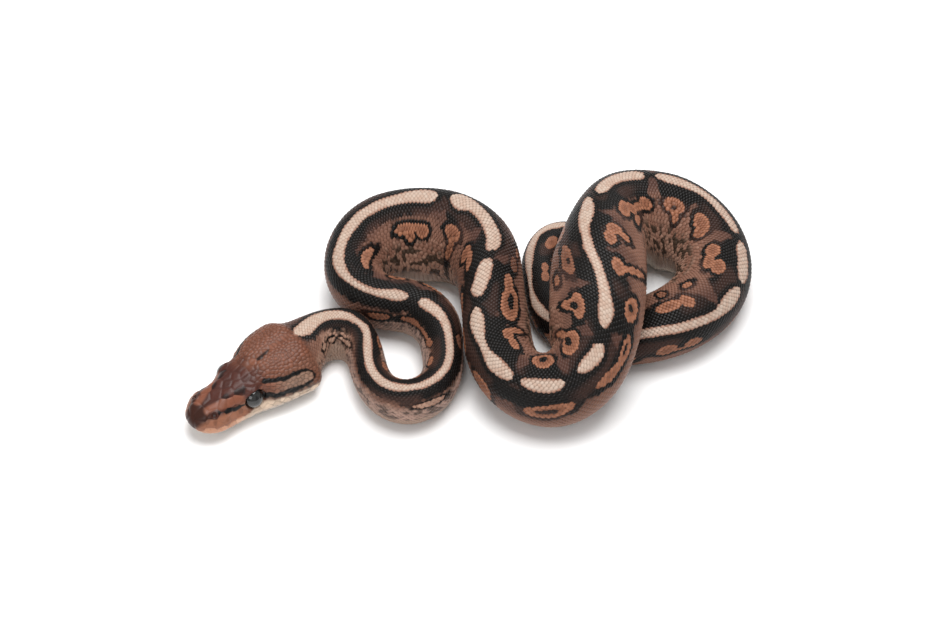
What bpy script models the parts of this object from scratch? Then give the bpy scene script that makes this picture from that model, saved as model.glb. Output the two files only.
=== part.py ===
"""A young ball python lying in loops, life size, as one still model.

The body follows one route over the floor, from the nape to the tip of the
tail. At each bend the route says how high the belly lies, how far the back
leans to the left of the way of travel, and how wide and tall the body is.
The body is cut into lengths with thin gaps, and each length, the head and
each eye is an object of its own. All sizes are in millimetres and degrees
until a mesh is made, which is in metres.
"""

import math

import bmesh
import bpy
import numpy as np

MM = 0.001
PART_NAME = "ball_python"

# The middle of the model's box on the floor, in the route's own frame.
FLOOR_CENTRE = (0.97, 2.63)

# Each bend: x, y, belly height, lean, width, height.
ROUTE = (
    (-35.4, -7.0, 0.0, 8, 13.4, 11.8),
    (-30.5, -3.9, 0.0, 22, 9.4, 12.0),
    (-25.8, -3.9, 0.0, 24, 8.4, 12.2),
    (-22.6, -8.4, 0.0, 8, 8.4, 12.2),
    (-20.7, -15.5, 0.0, -6, 8.4, 12.0),
    (-17.2, -21.0, 0.0, -13, 8.8, 12.4),
    (-12.6, -22.5, 0.0, -14, 9.2, 12.6),
    (-8.2, -20.2, 0.0, -12, 9.0, 12.4),
    (-5.7, -15.0, 0.0, -10, 8.8, 12.4),
    (-5.6, -8.5, 0.0, -6, 9.2, 12.6),
    (-7.0, -1.5, 0.0, 0, 10.6, 13.0),
    (-12.3, 3.2, 0.0, 12, 11.6, 13.6),
    (-19.1, 4.8, 0.0, 20, 12.0, 14.2),
    (-23.9, 9.0, 0.0, 26, 12.6, 15.8),
    (-24.1, 14.9, 0.0, 28, 13.2, 17.6),
    (-20.6, 19.5, 0.0, 30, 14.0, 19.4),
    (-14.1, 21.6, 0.0, 33, 14.6, 20.6),
    (-7.7, 21.0, 0.0, 29, 15.0, 21.4),
    (-1.5, 19.0, 0.0, 18, 15.2, 21.2),
    (3.3, 14.2, 0.0, 12, 15.0, 20.2),
    (4.9, 6.7, 0.3, -6, 14.5, 19.0),
    (5.9, -2.6, 0.5, -24, 14.0, 18.4),
    (7.0, -12.0, 0.3, -32, 14.4, 18.0),
    (11.6, -19.2, 0.0, -36, 15.0, 17.6),
    (18.8, -20.8, 0.5, -38, 17.0, 17.2),
    (24.2, -17.2, 4.0, -28, 19.0, 16.8),
    (26.5, -11.2, 8.6, -15, 20.2, 16.2),
    (27.5, -2.4, 10.6, 0, 20.8, 15.6),
    (28.2, 7.7, 9.6, 18, 20.6, 16.4),
    (30.4, 16.8, 6.8, 32, 18.0, 19.0),
    (34.8, 23.5, 3.0, 38, 15.8, 21.6),
    (41.3, 25.5, 0.0, 41, 15.4, 22.0),
    (48.4, 22.8, 0.0, 45, 15.8, 19.8),
    (52.9, 16.0, 0.0, 49, 16.4, 17.4),
    (51.6, 6.0, 0.0, 55, 16.0, 16.6),
    (44.6, -1.0, 0.0, 51, 15.4, 16.0),
    (35.0, -4.0, 0.0, 42, 14.2, 13.6),
    (26.0, -3.0, 0.0, 34, 12.6, 11.6),
    (19.3, 1.8, 0.0, 46, 11.4, 10.8),
    (17.0, 9.5, 0.0, 48, 10.0, 9.6),
    (15.9, 17.9, 0.0, 38, 8.8, 8.6),
    (19.8, 25.6, 0.0, 25, 7.6, 7.4),
    (26.0, 25.5, 0.0, 15, 6.4, 6.2),
    (31.0, 21.5, 0.0, 10, 5.4, 5.2),
    (33.0, 15.5, 0.0, 5, 4.4, 4.2),
    (30.5, 9.8, 0.0, 0, 3.4, 3.2),
    (26.0, 8.5, 0.0, 0, 2.4, 2.2),
    (23.0, 11.0, 0.0, 0, 1.2, 1.1),
)

# The lengths of the body: name, first bend, last bend.
LENGTHS = (
    ("neck", 0.0, 3.3),
    ("front_loop_near", 3.3, 7.3),
    ("front_loop_far", 7.3, 11.0),
    ("back_loop_left", 11.0, 15.0),
    ("back_loop_top", 15.0, 18.5),
    ("middle_bend_left", 18.5, 22.0),
    ("middle_bend_front", 22.0, 25.0),
    ("raised_arm", 25.0, 28.5),
    ("coil_back", 28.5, 31.5),
    ("coil_right", 31.5, 34.0),
    ("coil_front", 34.0, 37.5),
    ("hind_loop", 37.5, 41.0),
    ("tail", 41.0, 47.0),
)

CUT_GAP = 0.3
RING_STEP = 2.6
RING_SIDES = 18
BELLY_SINK = 0.8
SINK_SHARE = 0.08
SPLINE_STEP = 0.1

# The reach over which the sections of a bend fan evenly, and how the inner
# side of a tight bend is held in: the reach over which the turn is read, the
# share of its radius that flesh may fill, and how sharply.
FAN_REACH = 8.0
TURN_REACH = 1.5
TUCK_SHARE = 0.94
TUCK_POWER = 8.0

# The run of body that the raised arm presses down: first bend, last bend,
# the height it is held to, how fast that frees, and how soft the edge is.
PRESS = (36.0, 37.4, 10.2, 0.55, 3.0)

# The head: where it meets the neck, and the way the snout points.
HEAD_AT = (-35.4, -7.0)
HEAD_HEADING = math.radians(222.0)
# Along the head: forward, half width, crown height, chin height.
HEAD = (
    (0.0, 7.2, 11.8, 0.0),
    (3.5, 8.3, 12.1, 0.0),
    (7.5, 8.5, 12.2, 0.0),
    (11.5, 7.9, 11.8, 0.0),
    (14.5, 6.9, 11.1, 0.0),
    (17.5, 6.0, 10.4, 0.2),
    (21.0, 5.5, 9.5, 0.6),
    (25.0, 5.2, 8.5, 1.2),
    (28.0, 4.5, 7.7, 1.8),
    (29.6, 3.4, 7.0, 2.4),
    (30.7, 2.1, 6.3, 3.0),
    (31.1, 1.0, 5.6, 3.7),
)
HEAD_RINGS = 24
HEAD_SIDES = 24
HEAD_SQUARENESS = 0.78
HEAD_EGG = 0.16
NAPE_BLEND = 4.0

EYE_RADIUS = 2.4
EYE_FORWARD = 17.6
EYE_ASIDE = 4.15
EYE_HEIGHT = 6.35
EYE_SEGMENTS = 20
EYE_RINGS = 12

# Finish of each kind of piece: colour, roughness.
FINISHES = {
    "head_skin": ((0.16, 0.055, 0.038), 0.45),
    "neck_skin": ((0.09, 0.045, 0.035), 0.45),
    "trunk_skin": ((0.05, 0.03, 0.026), 0.42),
    "tail_skin": ((0.06, 0.035, 0.03), 0.45),
    "eye": ((0.02, 0.02, 0.022), 0.12),
}


def clear_scene():
    """Remove every object that the file opened with."""
    for thing in list(bpy.data.objects):
        bpy.data.objects.remove(thing, do_unlink=True)


def new_collection(name):
    """Make a collection in the scene and return it."""
    group = bpy.data.collections.new(name)
    bpy.context.scene.collection.children.link(group)
    return group


def make_material(name):
    """Make one of the finishes as a Principled material."""
    colour, roughness = FINISHES[name]
    material = bpy.data.materials.new(name)
    material.use_nodes = True
    shader = material.node_tree.nodes["Principled BSDF"]
    shader.inputs["Base Color"].default_value = (*colour, 1.0)
    shader.inputs["Roughness"].default_value = roughness
    shader.inputs["Metallic"].default_value = 0.0
    return material


def spline(knots, rows):
    """Return a function that reads a natural cubic spline through the rows."""
    count = len(knots)
    gaps = np.diff(knots)
    matrix = np.eye(count)
    right = np.zeros_like(rows)
    for i in range(1, count - 1):
        matrix[i, i - 1] = gaps[i - 1]
        matrix[i, i] = 2.0 * (gaps[i - 1] + gaps[i])
        matrix[i, i + 1] = gaps[i]
        after = (rows[i + 1] - rows[i]) / gaps[i]
        before = (rows[i] - rows[i - 1]) / gaps[i - 1]
        right[i] = 6.0 * (after - before)
    bend = np.linalg.solve(matrix, right)

    def read(at):
        i = np.clip(np.searchsorted(knots, at) - 1, 0, count - 2)
        gap = gaps[i][:, None]
        ahead = (knots[i + 1] - at)[:, None]
        behind = (at - knots[i])[:, None]
        cubic = (bend[i] * ahead ** 3 + bend[i + 1] * behind ** 3) / (6.0 * gap)
        low = (rows[i] / gap - bend[i] * gap / 6.0) * ahead
        high = (rows[i + 1] / gap - bend[i + 1] * gap / 6.0) * behind
        return cubic + low + high

    return read


class Route:
    """The body's centre line, read by distance along it."""

    def __init__(self):
        rows = np.array(ROUTE)
        steps = np.hypot(*np.diff(rows[:, :2], axis=0).T)
        knots = np.concatenate(([0.0], np.cumsum(steps)))
        fine = np.arange(0.0, knots[-1] + SPLINE_STEP, SPLINE_STEP)
        fine = np.minimum(fine, knots[-1])
        self.rows = spline(knots, rows)(fine)
        runs = np.hypot(*np.diff(self.rows[:, :2], axis=0).T)
        self.along = np.concatenate(([0.0], np.cumsum(runs)))
        self.bends = np.interp(knots, fine, self.along)

    def distance(self, bend):
        """Return the distance along the route of a bend's number."""
        return float(np.interp(bend, range(len(self.bends)), self.bends))

    def row(self, distance):
        """Return the route's row at a distance along it."""
        columns = self.rows.T
        return np.array([np.interp(distance, self.along, column) for column in columns])

    def heading(self, distance):
        """Return the way that a section faces on the floor, as a unit vector."""
        step = min(FAN_REACH, 0.4 + min(distance, self.along[-1] - distance))
        ahead = self.row(min(distance + step, self.along[-1]))
        behind = self.row(max(distance - step, 0.0))
        way = ahead[:2] - behind[:2]
        return way / np.hypot(*way)

    def turning(self, distance):
        """Return the turn to the left, in radians for each millimetre."""
        reach = TURN_REACH
        low = max(distance - reach, 0.0)
        high = min(distance + reach, self.along[-1])
        behind = self.heading(low)
        ahead = self.heading(high)
        cross = behind[0] * ahead[1] - behind[1] * ahead[0]
        return math.asin(max(-1.0, min(1.0, cross))) / (high - low)

    def ceiling(self, distance):
        """Return how high the body may rise at a distance along the route."""
        first, last, held, freeing, _ = PRESS
        short = self.distance(first) - distance
        past = distance - self.distance(last)
        return held + freeing * max(short, past, 0.0)

    def ring(self, distance, sides):
        """Return the points of the body's section at a distance along it."""
        x, y, rest, lean, width, height = self.row(distance)
        rest = max(rest, 0.0)
        way = self.heading(distance)
        left = np.array([-way[1], way[0], 0.0])
        up = np.array([0.0, 0.0, 1.0])
        lean = math.radians(lean)
        back = math.cos(lean) * up + math.sin(lean) * left
        across = math.cos(lean) * left - math.sin(lean) * up
        reach = math.hypot(width / 2 * math.sin(lean), height / 2 * math.cos(lean))
        sink = min(BELLY_SINK, SINK_SHARE * height)
        centre = np.array([x, y, rest + reach - sink])
        turn = np.arange(sides) * 2.0 * math.pi / sides
        points = (
            centre
            + np.outer(np.sin(turn), across) * width / 2
            + np.outer(np.cos(turn), back) * height / 2
        )
        aside = (points - centre) @ left
        tucked = tuck_in(aside, self.turning(distance))
        points += np.outer(tucked - aside, left)
        points[:, 2] = press_down(points[:, 2], self.ceiling(distance))
        points[:, 2] = np.maximum(points[:, 2], rest)
        return points


def press_down(heights, ceiling):
    """Hold heights under a ceiling, with a soft shoulder below it."""
    soft = PRESS[4]
    over = np.maximum(heights - (ceiling - soft), 0.0)
    return np.minimum(heights, ceiling - soft) + soft * np.tanh(over / soft)


def tuck_in(aside, turning):
    """Hold the inner side of a bend clear of the bend's own middle."""
    inward = aside * np.sign(turning)
    room = TUCK_SHARE / max(abs(turning), 1e-6)
    held = inward / (1.0 + np.maximum(inward / room, 0.0) ** TUCK_POWER) ** (1.0 / TUCK_POWER)
    return held * np.sign(turning)


def head_ring(forward, neck):
    """Return the head's section at a distance forward of the nape."""
    table = np.array(HEAD).T
    half, crown, chin = (np.interp(forward, table[0], column) for column in table[1:])
    way = np.array([math.cos(HEAD_HEADING), math.sin(HEAD_HEADING), 0.0])
    right = np.array([way[1], -way[0], 0.0])
    turn = np.arange(HEAD_SIDES) * 2.0 * math.pi / HEAD_SIDES
    sine = np.sign(np.sin(turn)) * np.abs(np.sin(turn)) ** HEAD_SQUARENESS
    cosine = np.sign(np.cos(turn)) * np.abs(np.cos(turn)) ** HEAD_SQUARENESS
    across = half * sine * (1.0 - HEAD_EGG * cosine)
    level = (crown + chin) / 2 + (crown - chin) / 2 * cosine
    start = np.array([*HEAD_AT, 0.0]) + way * forward
    own = start + np.outer(across, right) + np.outer(level, [0.0, 0.0, 1.0])
    share = min(forward / NAPE_BLEND, 1.0)
    share = share * share * (3.0 - 2.0 * share)
    return own * share + (neck + way * forward) * (1.0 - share)


def loft(name, rings, group, material):
    """Make a closed mesh object through a row of rings of points."""
    mesh = bpy.data.meshes.new(name)
    model = bmesh.new()
    offset = np.array([*FLOOR_CENTRE, 0.0])
    rows = []
    for ring in rings:
        rows.append([model.verts.new((point - offset) * MM) for point in ring])
    sides = len(rings[0])
    for low, high in zip(rows, rows[1:]):
        for i in range(sides):
            j = (i + 1) % sides
            model.faces.new((low[i], low[j], high[j], high[i]))
    model.faces.new(rows[0])
    model.faces.new(rows[-1])
    bmesh.ops.recalc_face_normals(model, faces=model.faces[:])
    model.to_mesh(mesh)
    model.free()
    mesh.shade_smooth()
    mesh.set_sharp_from_angle(angle=math.radians(50))
    mesh.materials.append(material)
    thing = bpy.data.objects.new(name, mesh)
    group.objects.link(thing)
    return thing


def make_length(route, name, first, last, group, material):
    """Make one length of the body between two bends."""
    start = route.distance(first) + CUT_GAP / 2
    stop = route.distance(last) - CUT_GAP / 2
    count = max(3, round((stop - start) / RING_STEP))
    places = np.linspace(start, stop, count + 1)
    rings = [route.ring(place, RING_SIDES) for place in places]
    return loft(name, rings, group, material)


def make_head(route, group, material):
    """Make the head, from the nape to the snout."""
    neck = route.ring(0.0, HEAD_SIDES)
    reach = HEAD[-1][0]
    share = np.linspace(0.0, 1.0, HEAD_RINGS)
    places = CUT_GAP / 2 + (reach - CUT_GAP / 2) * np.sin(share * math.pi / 2)
    rings = [head_ring(place, neck) for place in places]
    return loft("head", rings, group, material)


def eye_centre(side):
    """Return the middle of an eye, in metres; side is 1 for left, -1 for right."""
    way = (math.cos(HEAD_HEADING), math.sin(HEAD_HEADING))
    left = (-way[1], way[0])
    x = HEAD_AT[0] + way[0] * EYE_FORWARD + left[0] * EYE_ASIDE * side - FLOOR_CENTRE[0]
    y = HEAD_AT[1] + way[1] * EYE_FORWARD + left[1] * EYE_ASIDE * side - FLOOR_CENTRE[1]
    return (x * MM, y * MM, EYE_HEIGHT * MM)


def make_ball(name, side, radius, group):
    """Add a ball at an eye's place and return it."""
    bpy.ops.mesh.primitive_uv_sphere_add(
        segments=EYE_SEGMENTS, ring_count=EYE_RINGS, radius=radius * MM, location=eye_centre(side)
    )
    ball = bpy.context.active_object
    ball.name = name
    ball.data.name = name
    for owner in list(ball.users_collection):
        owner.objects.unlink(ball)
    group.objects.link(ball)
    ball.data.shade_smooth()
    return ball


def cut_socket(head, side, name, guides):
    """Cut the socket of one eye out of the head."""
    cutter = make_ball("socket_cutter_" + name, side, EYE_RADIUS + CUT_GAP, guides)
    cutter.hide_render = True
    cutter.display_type = "WIRE"
    socket = head.modifiers.new("socket_" + name, "BOOLEAN")
    socket.operation = "DIFFERENCE"
    socket.solver = "EXACT"
    socket.object = cutter


def build():
    """Build the whole model."""
    clear_scene()
    group = new_collection(PART_NAME)
    guides = new_collection("cutters")
    finishes = {name: make_material(name) for name in FINISHES}
    route = Route()
    for name, first, last in LENGTHS:
        kind = name + "_skin" if name in ("neck", "tail") else "trunk_skin"
        make_length(route, name, first, last, group, finishes[kind])
    head = make_head(route, group, finishes["head_skin"])
    for name, side in (("left", 1), ("right", -1)):
        cut_socket(head, side, name, guides)
        eye = make_ball("eye_" + name, side, EYE_RADIUS, group)
        eye.data.materials.append(finishes["eye"])


build()
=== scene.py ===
"""The looks of a young ball python that lies in loops, as one still life-size model.

The coat's outer surface follows the frame: the body is a row of oval sections
along one route over the floor, and the head is a tapered form of its own. One
closed skin lies a scale's depth inside that surface. Over it lie the small
overlapping scales of the back and flanks, the broad scutes of the belly, the
shields of the head, and two eyes. Sizes are in millimetres and degrees until
a mesh is made, which is in metres. A place is a distance along the body from
the nape, and it is negative on the head. A share is a part of the way round
the body, from 0 on the back to a half under the belly, with the left of the
way of travel positive.
"""

import logging
import math
from collections.abc import Callable
from dataclasses import dataclass, field, fields
from enum import Enum

import bpy
import numpy as np
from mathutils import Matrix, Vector


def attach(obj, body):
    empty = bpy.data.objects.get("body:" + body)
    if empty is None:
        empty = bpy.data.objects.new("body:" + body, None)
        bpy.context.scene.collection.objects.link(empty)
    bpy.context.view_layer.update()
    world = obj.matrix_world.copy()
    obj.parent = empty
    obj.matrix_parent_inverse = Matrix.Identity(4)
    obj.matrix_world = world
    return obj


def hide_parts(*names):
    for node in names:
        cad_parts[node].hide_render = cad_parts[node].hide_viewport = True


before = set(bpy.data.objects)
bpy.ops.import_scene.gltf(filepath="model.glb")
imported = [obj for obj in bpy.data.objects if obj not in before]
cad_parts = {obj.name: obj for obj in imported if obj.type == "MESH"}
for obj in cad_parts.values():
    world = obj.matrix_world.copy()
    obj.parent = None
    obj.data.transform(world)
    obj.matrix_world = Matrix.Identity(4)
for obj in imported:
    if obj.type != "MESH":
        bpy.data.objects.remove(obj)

MM = 0.001
LOG = logging.getLogger("ball_python")
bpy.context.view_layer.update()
UP = np.array([0.0, 0.0, 1.0])

# The middle of the model's box on the floor, in the route's own frame.
FLOOR_CENTRE = np.array([0.97, 2.63, 0.0])

# Each bend: x, y, belly height, lean, width, height.
ROUTE = (
    (-35.4, -7.0, 0.0, 8, 13.4, 11.8),
    (-30.5, -3.9, 0.0, 22, 9.4, 12.0),
    (-25.8, -3.9, 0.0, 24, 8.4, 12.2),
    (-22.6, -8.4, 0.0, 8, 8.4, 12.2),
    (-20.7, -15.5, 0.0, -6, 8.4, 12.0),
    (-17.2, -21.0, 0.0, -13, 8.8, 12.4),
    (-12.6, -22.5, 0.0, -14, 9.2, 12.6),
    (-8.2, -20.2, 0.0, -12, 9.0, 12.4),
    (-5.7, -15.0, 0.0, -10, 8.8, 12.4),
    (-5.6, -8.5, 0.0, -6, 9.2, 12.6),
    (-7.0, -1.5, 0.0, 0, 10.6, 13.0),
    (-12.3, 3.2, 0.0, 12, 11.6, 13.6),
    (-19.1, 4.8, 0.0, 20, 12.0, 14.2),
    (-23.9, 9.0, 0.0, 26, 12.6, 15.8),
    (-24.1, 14.9, 0.0, 28, 13.2, 17.6),
    (-20.6, 19.5, 0.0, 30, 14.0, 19.4),
    (-14.1, 21.6, 0.0, 33, 14.6, 20.6),
    (-7.7, 21.0, 0.0, 29, 15.0, 21.4),
    (-1.5, 19.0, 0.0, 18, 15.2, 21.2),
    (3.3, 14.2, 0.0, 12, 15.0, 20.2),
    (4.9, 6.7, 0.3, -6, 14.5, 19.0),
    (5.9, -2.6, 0.5, -24, 14.0, 18.4),
    (7.0, -12.0, 0.3, -32, 14.4, 18.0),
    (11.6, -19.2, 0.0, -36, 15.0, 17.6),
    (18.8, -20.8, 0.5, -38, 17.0, 17.2),
    (24.2, -17.2, 4.0, -28, 19.0, 16.8),
    (26.5, -11.2, 8.6, -15, 20.2, 16.2),
    (27.5, -2.4, 10.6, 0, 20.8, 15.6),
    (28.2, 7.7, 9.6, 18, 20.6, 16.4),
    (30.4, 16.8, 6.8, 32, 18.0, 19.0),
    (34.8, 23.5, 3.0, 38, 15.8, 21.6),
    (41.3, 25.5, 0.0, 41, 15.4, 22.0),
    (48.4, 22.8, 0.0, 45, 15.8, 19.8),
    (52.9, 16.0, 0.0, 49, 16.4, 17.4),
    (51.6, 6.0, 0.0, 55, 16.0, 16.6),
    (44.6, -1.0, 0.0, 51, 15.4, 16.0),
    (35.0, -4.0, 0.0, 42, 14.2, 13.6),
    (26.0, -3.0, 0.0, 34, 12.6, 11.6),
    (19.3, 1.8, 0.0, 46, 11.4, 10.8),
    (17.0, 9.5, 0.0, 48, 10.0, 9.6),
    (15.9, 17.9, 0.0, 38, 8.8, 8.6),
    (19.8, 25.6, 0.0, 25, 7.6, 7.4),
    (26.0, 25.5, 0.0, 15, 6.4, 6.2),
    (31.0, 21.5, 0.0, 10, 5.4, 5.2),
    (33.0, 15.5, 0.0, 5, 4.4, 4.2),
    (30.5, 9.8, 0.0, 0, 3.4, 3.2),
    (26.0, 8.5, 0.0, 0, 2.4, 2.2),
    (23.0, 11.0, 0.0, 0, 1.2, 1.1),
)

# How far a section goes below the level that it rests on, which flattens its belly: at most, and as a
# share of its height.
BELLY_SINK = 0.8
SINK_SHARE = 0.08

# How finely the route is read, and over what reach a section's heading and a turn are read.
SPLINE_STEP = 0.1
FAN_REACH = 8.0
TURN_REACH = 1.5

# How far the inner side may reach toward a bend's own middle, as a share of the way, and how sharply it
# is held there.
TUCK_SHARE = 0.94
TUCK_POWER = 8.0

# How deep the skin lies under the coat: at most, and as a share of the girth.
SKIN_DEPTH = 0.30
THIN_SHARE = 0.05

# The share at which the small scales end and the scutes of the belly begin.
BELLY_SHARE = 0.385

# Forward of the nape, where the body's markings give way to the head's.
NAPE_CHANGE = (1.2, 3.2)


@dataclass(frozen=True)
class Press:
    """The run that the raised arm presses down."""

    # The bends between which it is held, and the height that it is held to.
    first: float
    last: float
    held: float
    # How fast the height frees beyond them, and how soft the hold is.
    freeing: float
    shoulder: float


PRESS = Press(first=36.0, last=37.4, held=10.2, freeing=0.55, shoulder=3.0)


class Flank(Enum):
    """A side of the body, as seen by one who travels from head to tail."""

    LEFT = 1
    RIGHT = -1


class Slot(Enum):
    """The record's material slots."""

    HEAD = "head_skin"
    TRUNK = "trunk_skin"
    EYE = "eye"


def smooth(value: np.ndarray, low: float, high: float) -> np.ndarray:
    """Rise softly from 0, where a value is low, to 1, where it is high."""
    part = np.clip((value - low) / (high - low), 0.0, 1.0)
    return part * part * (3.0 - 2.0 * part)


def blend(first: np.ndarray, second: np.ndarray, share: np.ndarray) -> np.ndarray:
    """Mix two rows of tones by a share for each point."""
    return first + (second - first) * np.asarray(share)[..., None]


def part_way(middle: np.ndarray, corner: np.ndarray, share: float) -> np.ndarray:
    """Return what lies a share of the way from a scale's middle to its corners."""
    return middle + (corner - middle) * share


def unit(vectors: np.ndarray) -> np.ndarray:
    """Scale each vector to length 1."""
    return vectors / np.maximum(np.linalg.norm(vectors, axis=-1, keepdims=True), 1e-9)


def read_table(at: np.ndarray, table: tuple, column: int = 1) -> np.ndarray:
    """Read a column of a table of rows by its first column, which rises."""
    numbers = np.array(table)
    return np.interp(at, numbers[:, 0], numbers[:, column])


def spline(knots: np.ndarray, rows: np.ndarray) -> Callable[[np.ndarray], np.ndarray]:
    """Pass a natural cubic spline through rows of numbers.

    Args:
        knots: The rising places of the rows.
        rows: The numbers at each knot.

    Returns:
        A function that reads the rows at any places.
    """
    count = len(knots)
    gaps = np.diff(knots)
    matrix = np.eye(count)
    right = np.zeros_like(rows)
    for i in range(1, count - 1):
        matrix[i, i - 1] = gaps[i - 1]
        matrix[i, i] = 2.0 * (gaps[i - 1] + gaps[i])
        matrix[i, i + 1] = gaps[i]
        after = (rows[i + 1] - rows[i]) / gaps[i]
        before = (rows[i] - rows[i - 1]) / gaps[i - 1]
        right[i] = 6.0 * (after - before)
    bend = np.linalg.solve(matrix, right)

    def read(at: np.ndarray) -> np.ndarray:
        """Read the spline.

        Args:
            at: Places between the first knot and the last.

        Returns:
            A row of numbers for each place.
        """
        i = np.clip(np.searchsorted(knots, at) - 1, 0, count - 2)
        gap = gaps[i][:, None]
        ahead = (knots[i + 1] - at)[:, None]
        behind = (at - knots[i])[:, None]
        cubic = (bend[i] * ahead ** 3 + bend[i + 1] * behind ** 3) / (6.0 * gap)
        low = (rows[i] / gap - bend[i] * gap / 6.0) * ahead
        high = (rows[i + 1] / gap - bend[i + 1] * gap / 6.0) * behind
        return cubic + low + high

    return read


def wrapped(share: np.ndarray) -> np.ndarray:
    """Bring shares of the girth to between minus a half and a half."""
    return np.mod(share + 0.5, 1.0) - 0.5


def line_distance(along: np.ndarray, aside: np.ndarray, points: tuple) -> np.ndarray:
    """Measure how far places are from a bent line.

    Args:
        along: First coordinate of the places.
        aside: Second coordinate of the places.
        points: The line's corners, each (first, second).

    Returns:
        The distance to the nearest point of the line.
    """
    nearest = np.full(np.shape(along), 1e9)
    for (x0, y0), (x1, y1) in zip(points, points[1:]):
        dx = x1 - x0
        dy = y1 - y0
        part = ((along - x0) * dx + (aside - y0) * dy) / (dx * dx + dy * dy)
        part = np.clip(part, 0.0, 1.0)
        gap = np.hypot(along - x0 - part * dx, aside - y0 - part * dy)
        nearest = np.minimum(nearest, gap)
    return nearest


class Grain:
    """Soft seeded noise over two coordinates."""

    SIZE = 97

    def __init__(self, seed: int) -> None:
        """Draw the table of random heights."""
        self.table = np.random.default_rng(seed).random((self.SIZE, self.SIZE))

    def read(self, x: np.ndarray, y: np.ndarray) -> np.ndarray:
        """Read the noise.

        Args:
            x: First coordinate, in units of one lump.
            y: Second coordinate, in units of one lump.

        Returns:
            Values from 0 to 1.
        """
        column = np.floor(x).astype(int)
        row = np.floor(y).astype(int)
        u = x - column
        v = y - row
        u = u * u * (3.0 - 2.0 * u)
        v = v * v * (3.0 - 2.0 * v)
        size = self.SIZE
        corner = self.table[row % size, column % size]
        beside = self.table[row % size, (column + 1) % size]
        above = self.table[(row + 1) % size, column % size]
        across = self.table[(row + 1) % size, (column + 1) % size]
        low = corner + (beside - corner) * u
        high = above + (across - above) * u
        return low + (high - low) * v


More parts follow.
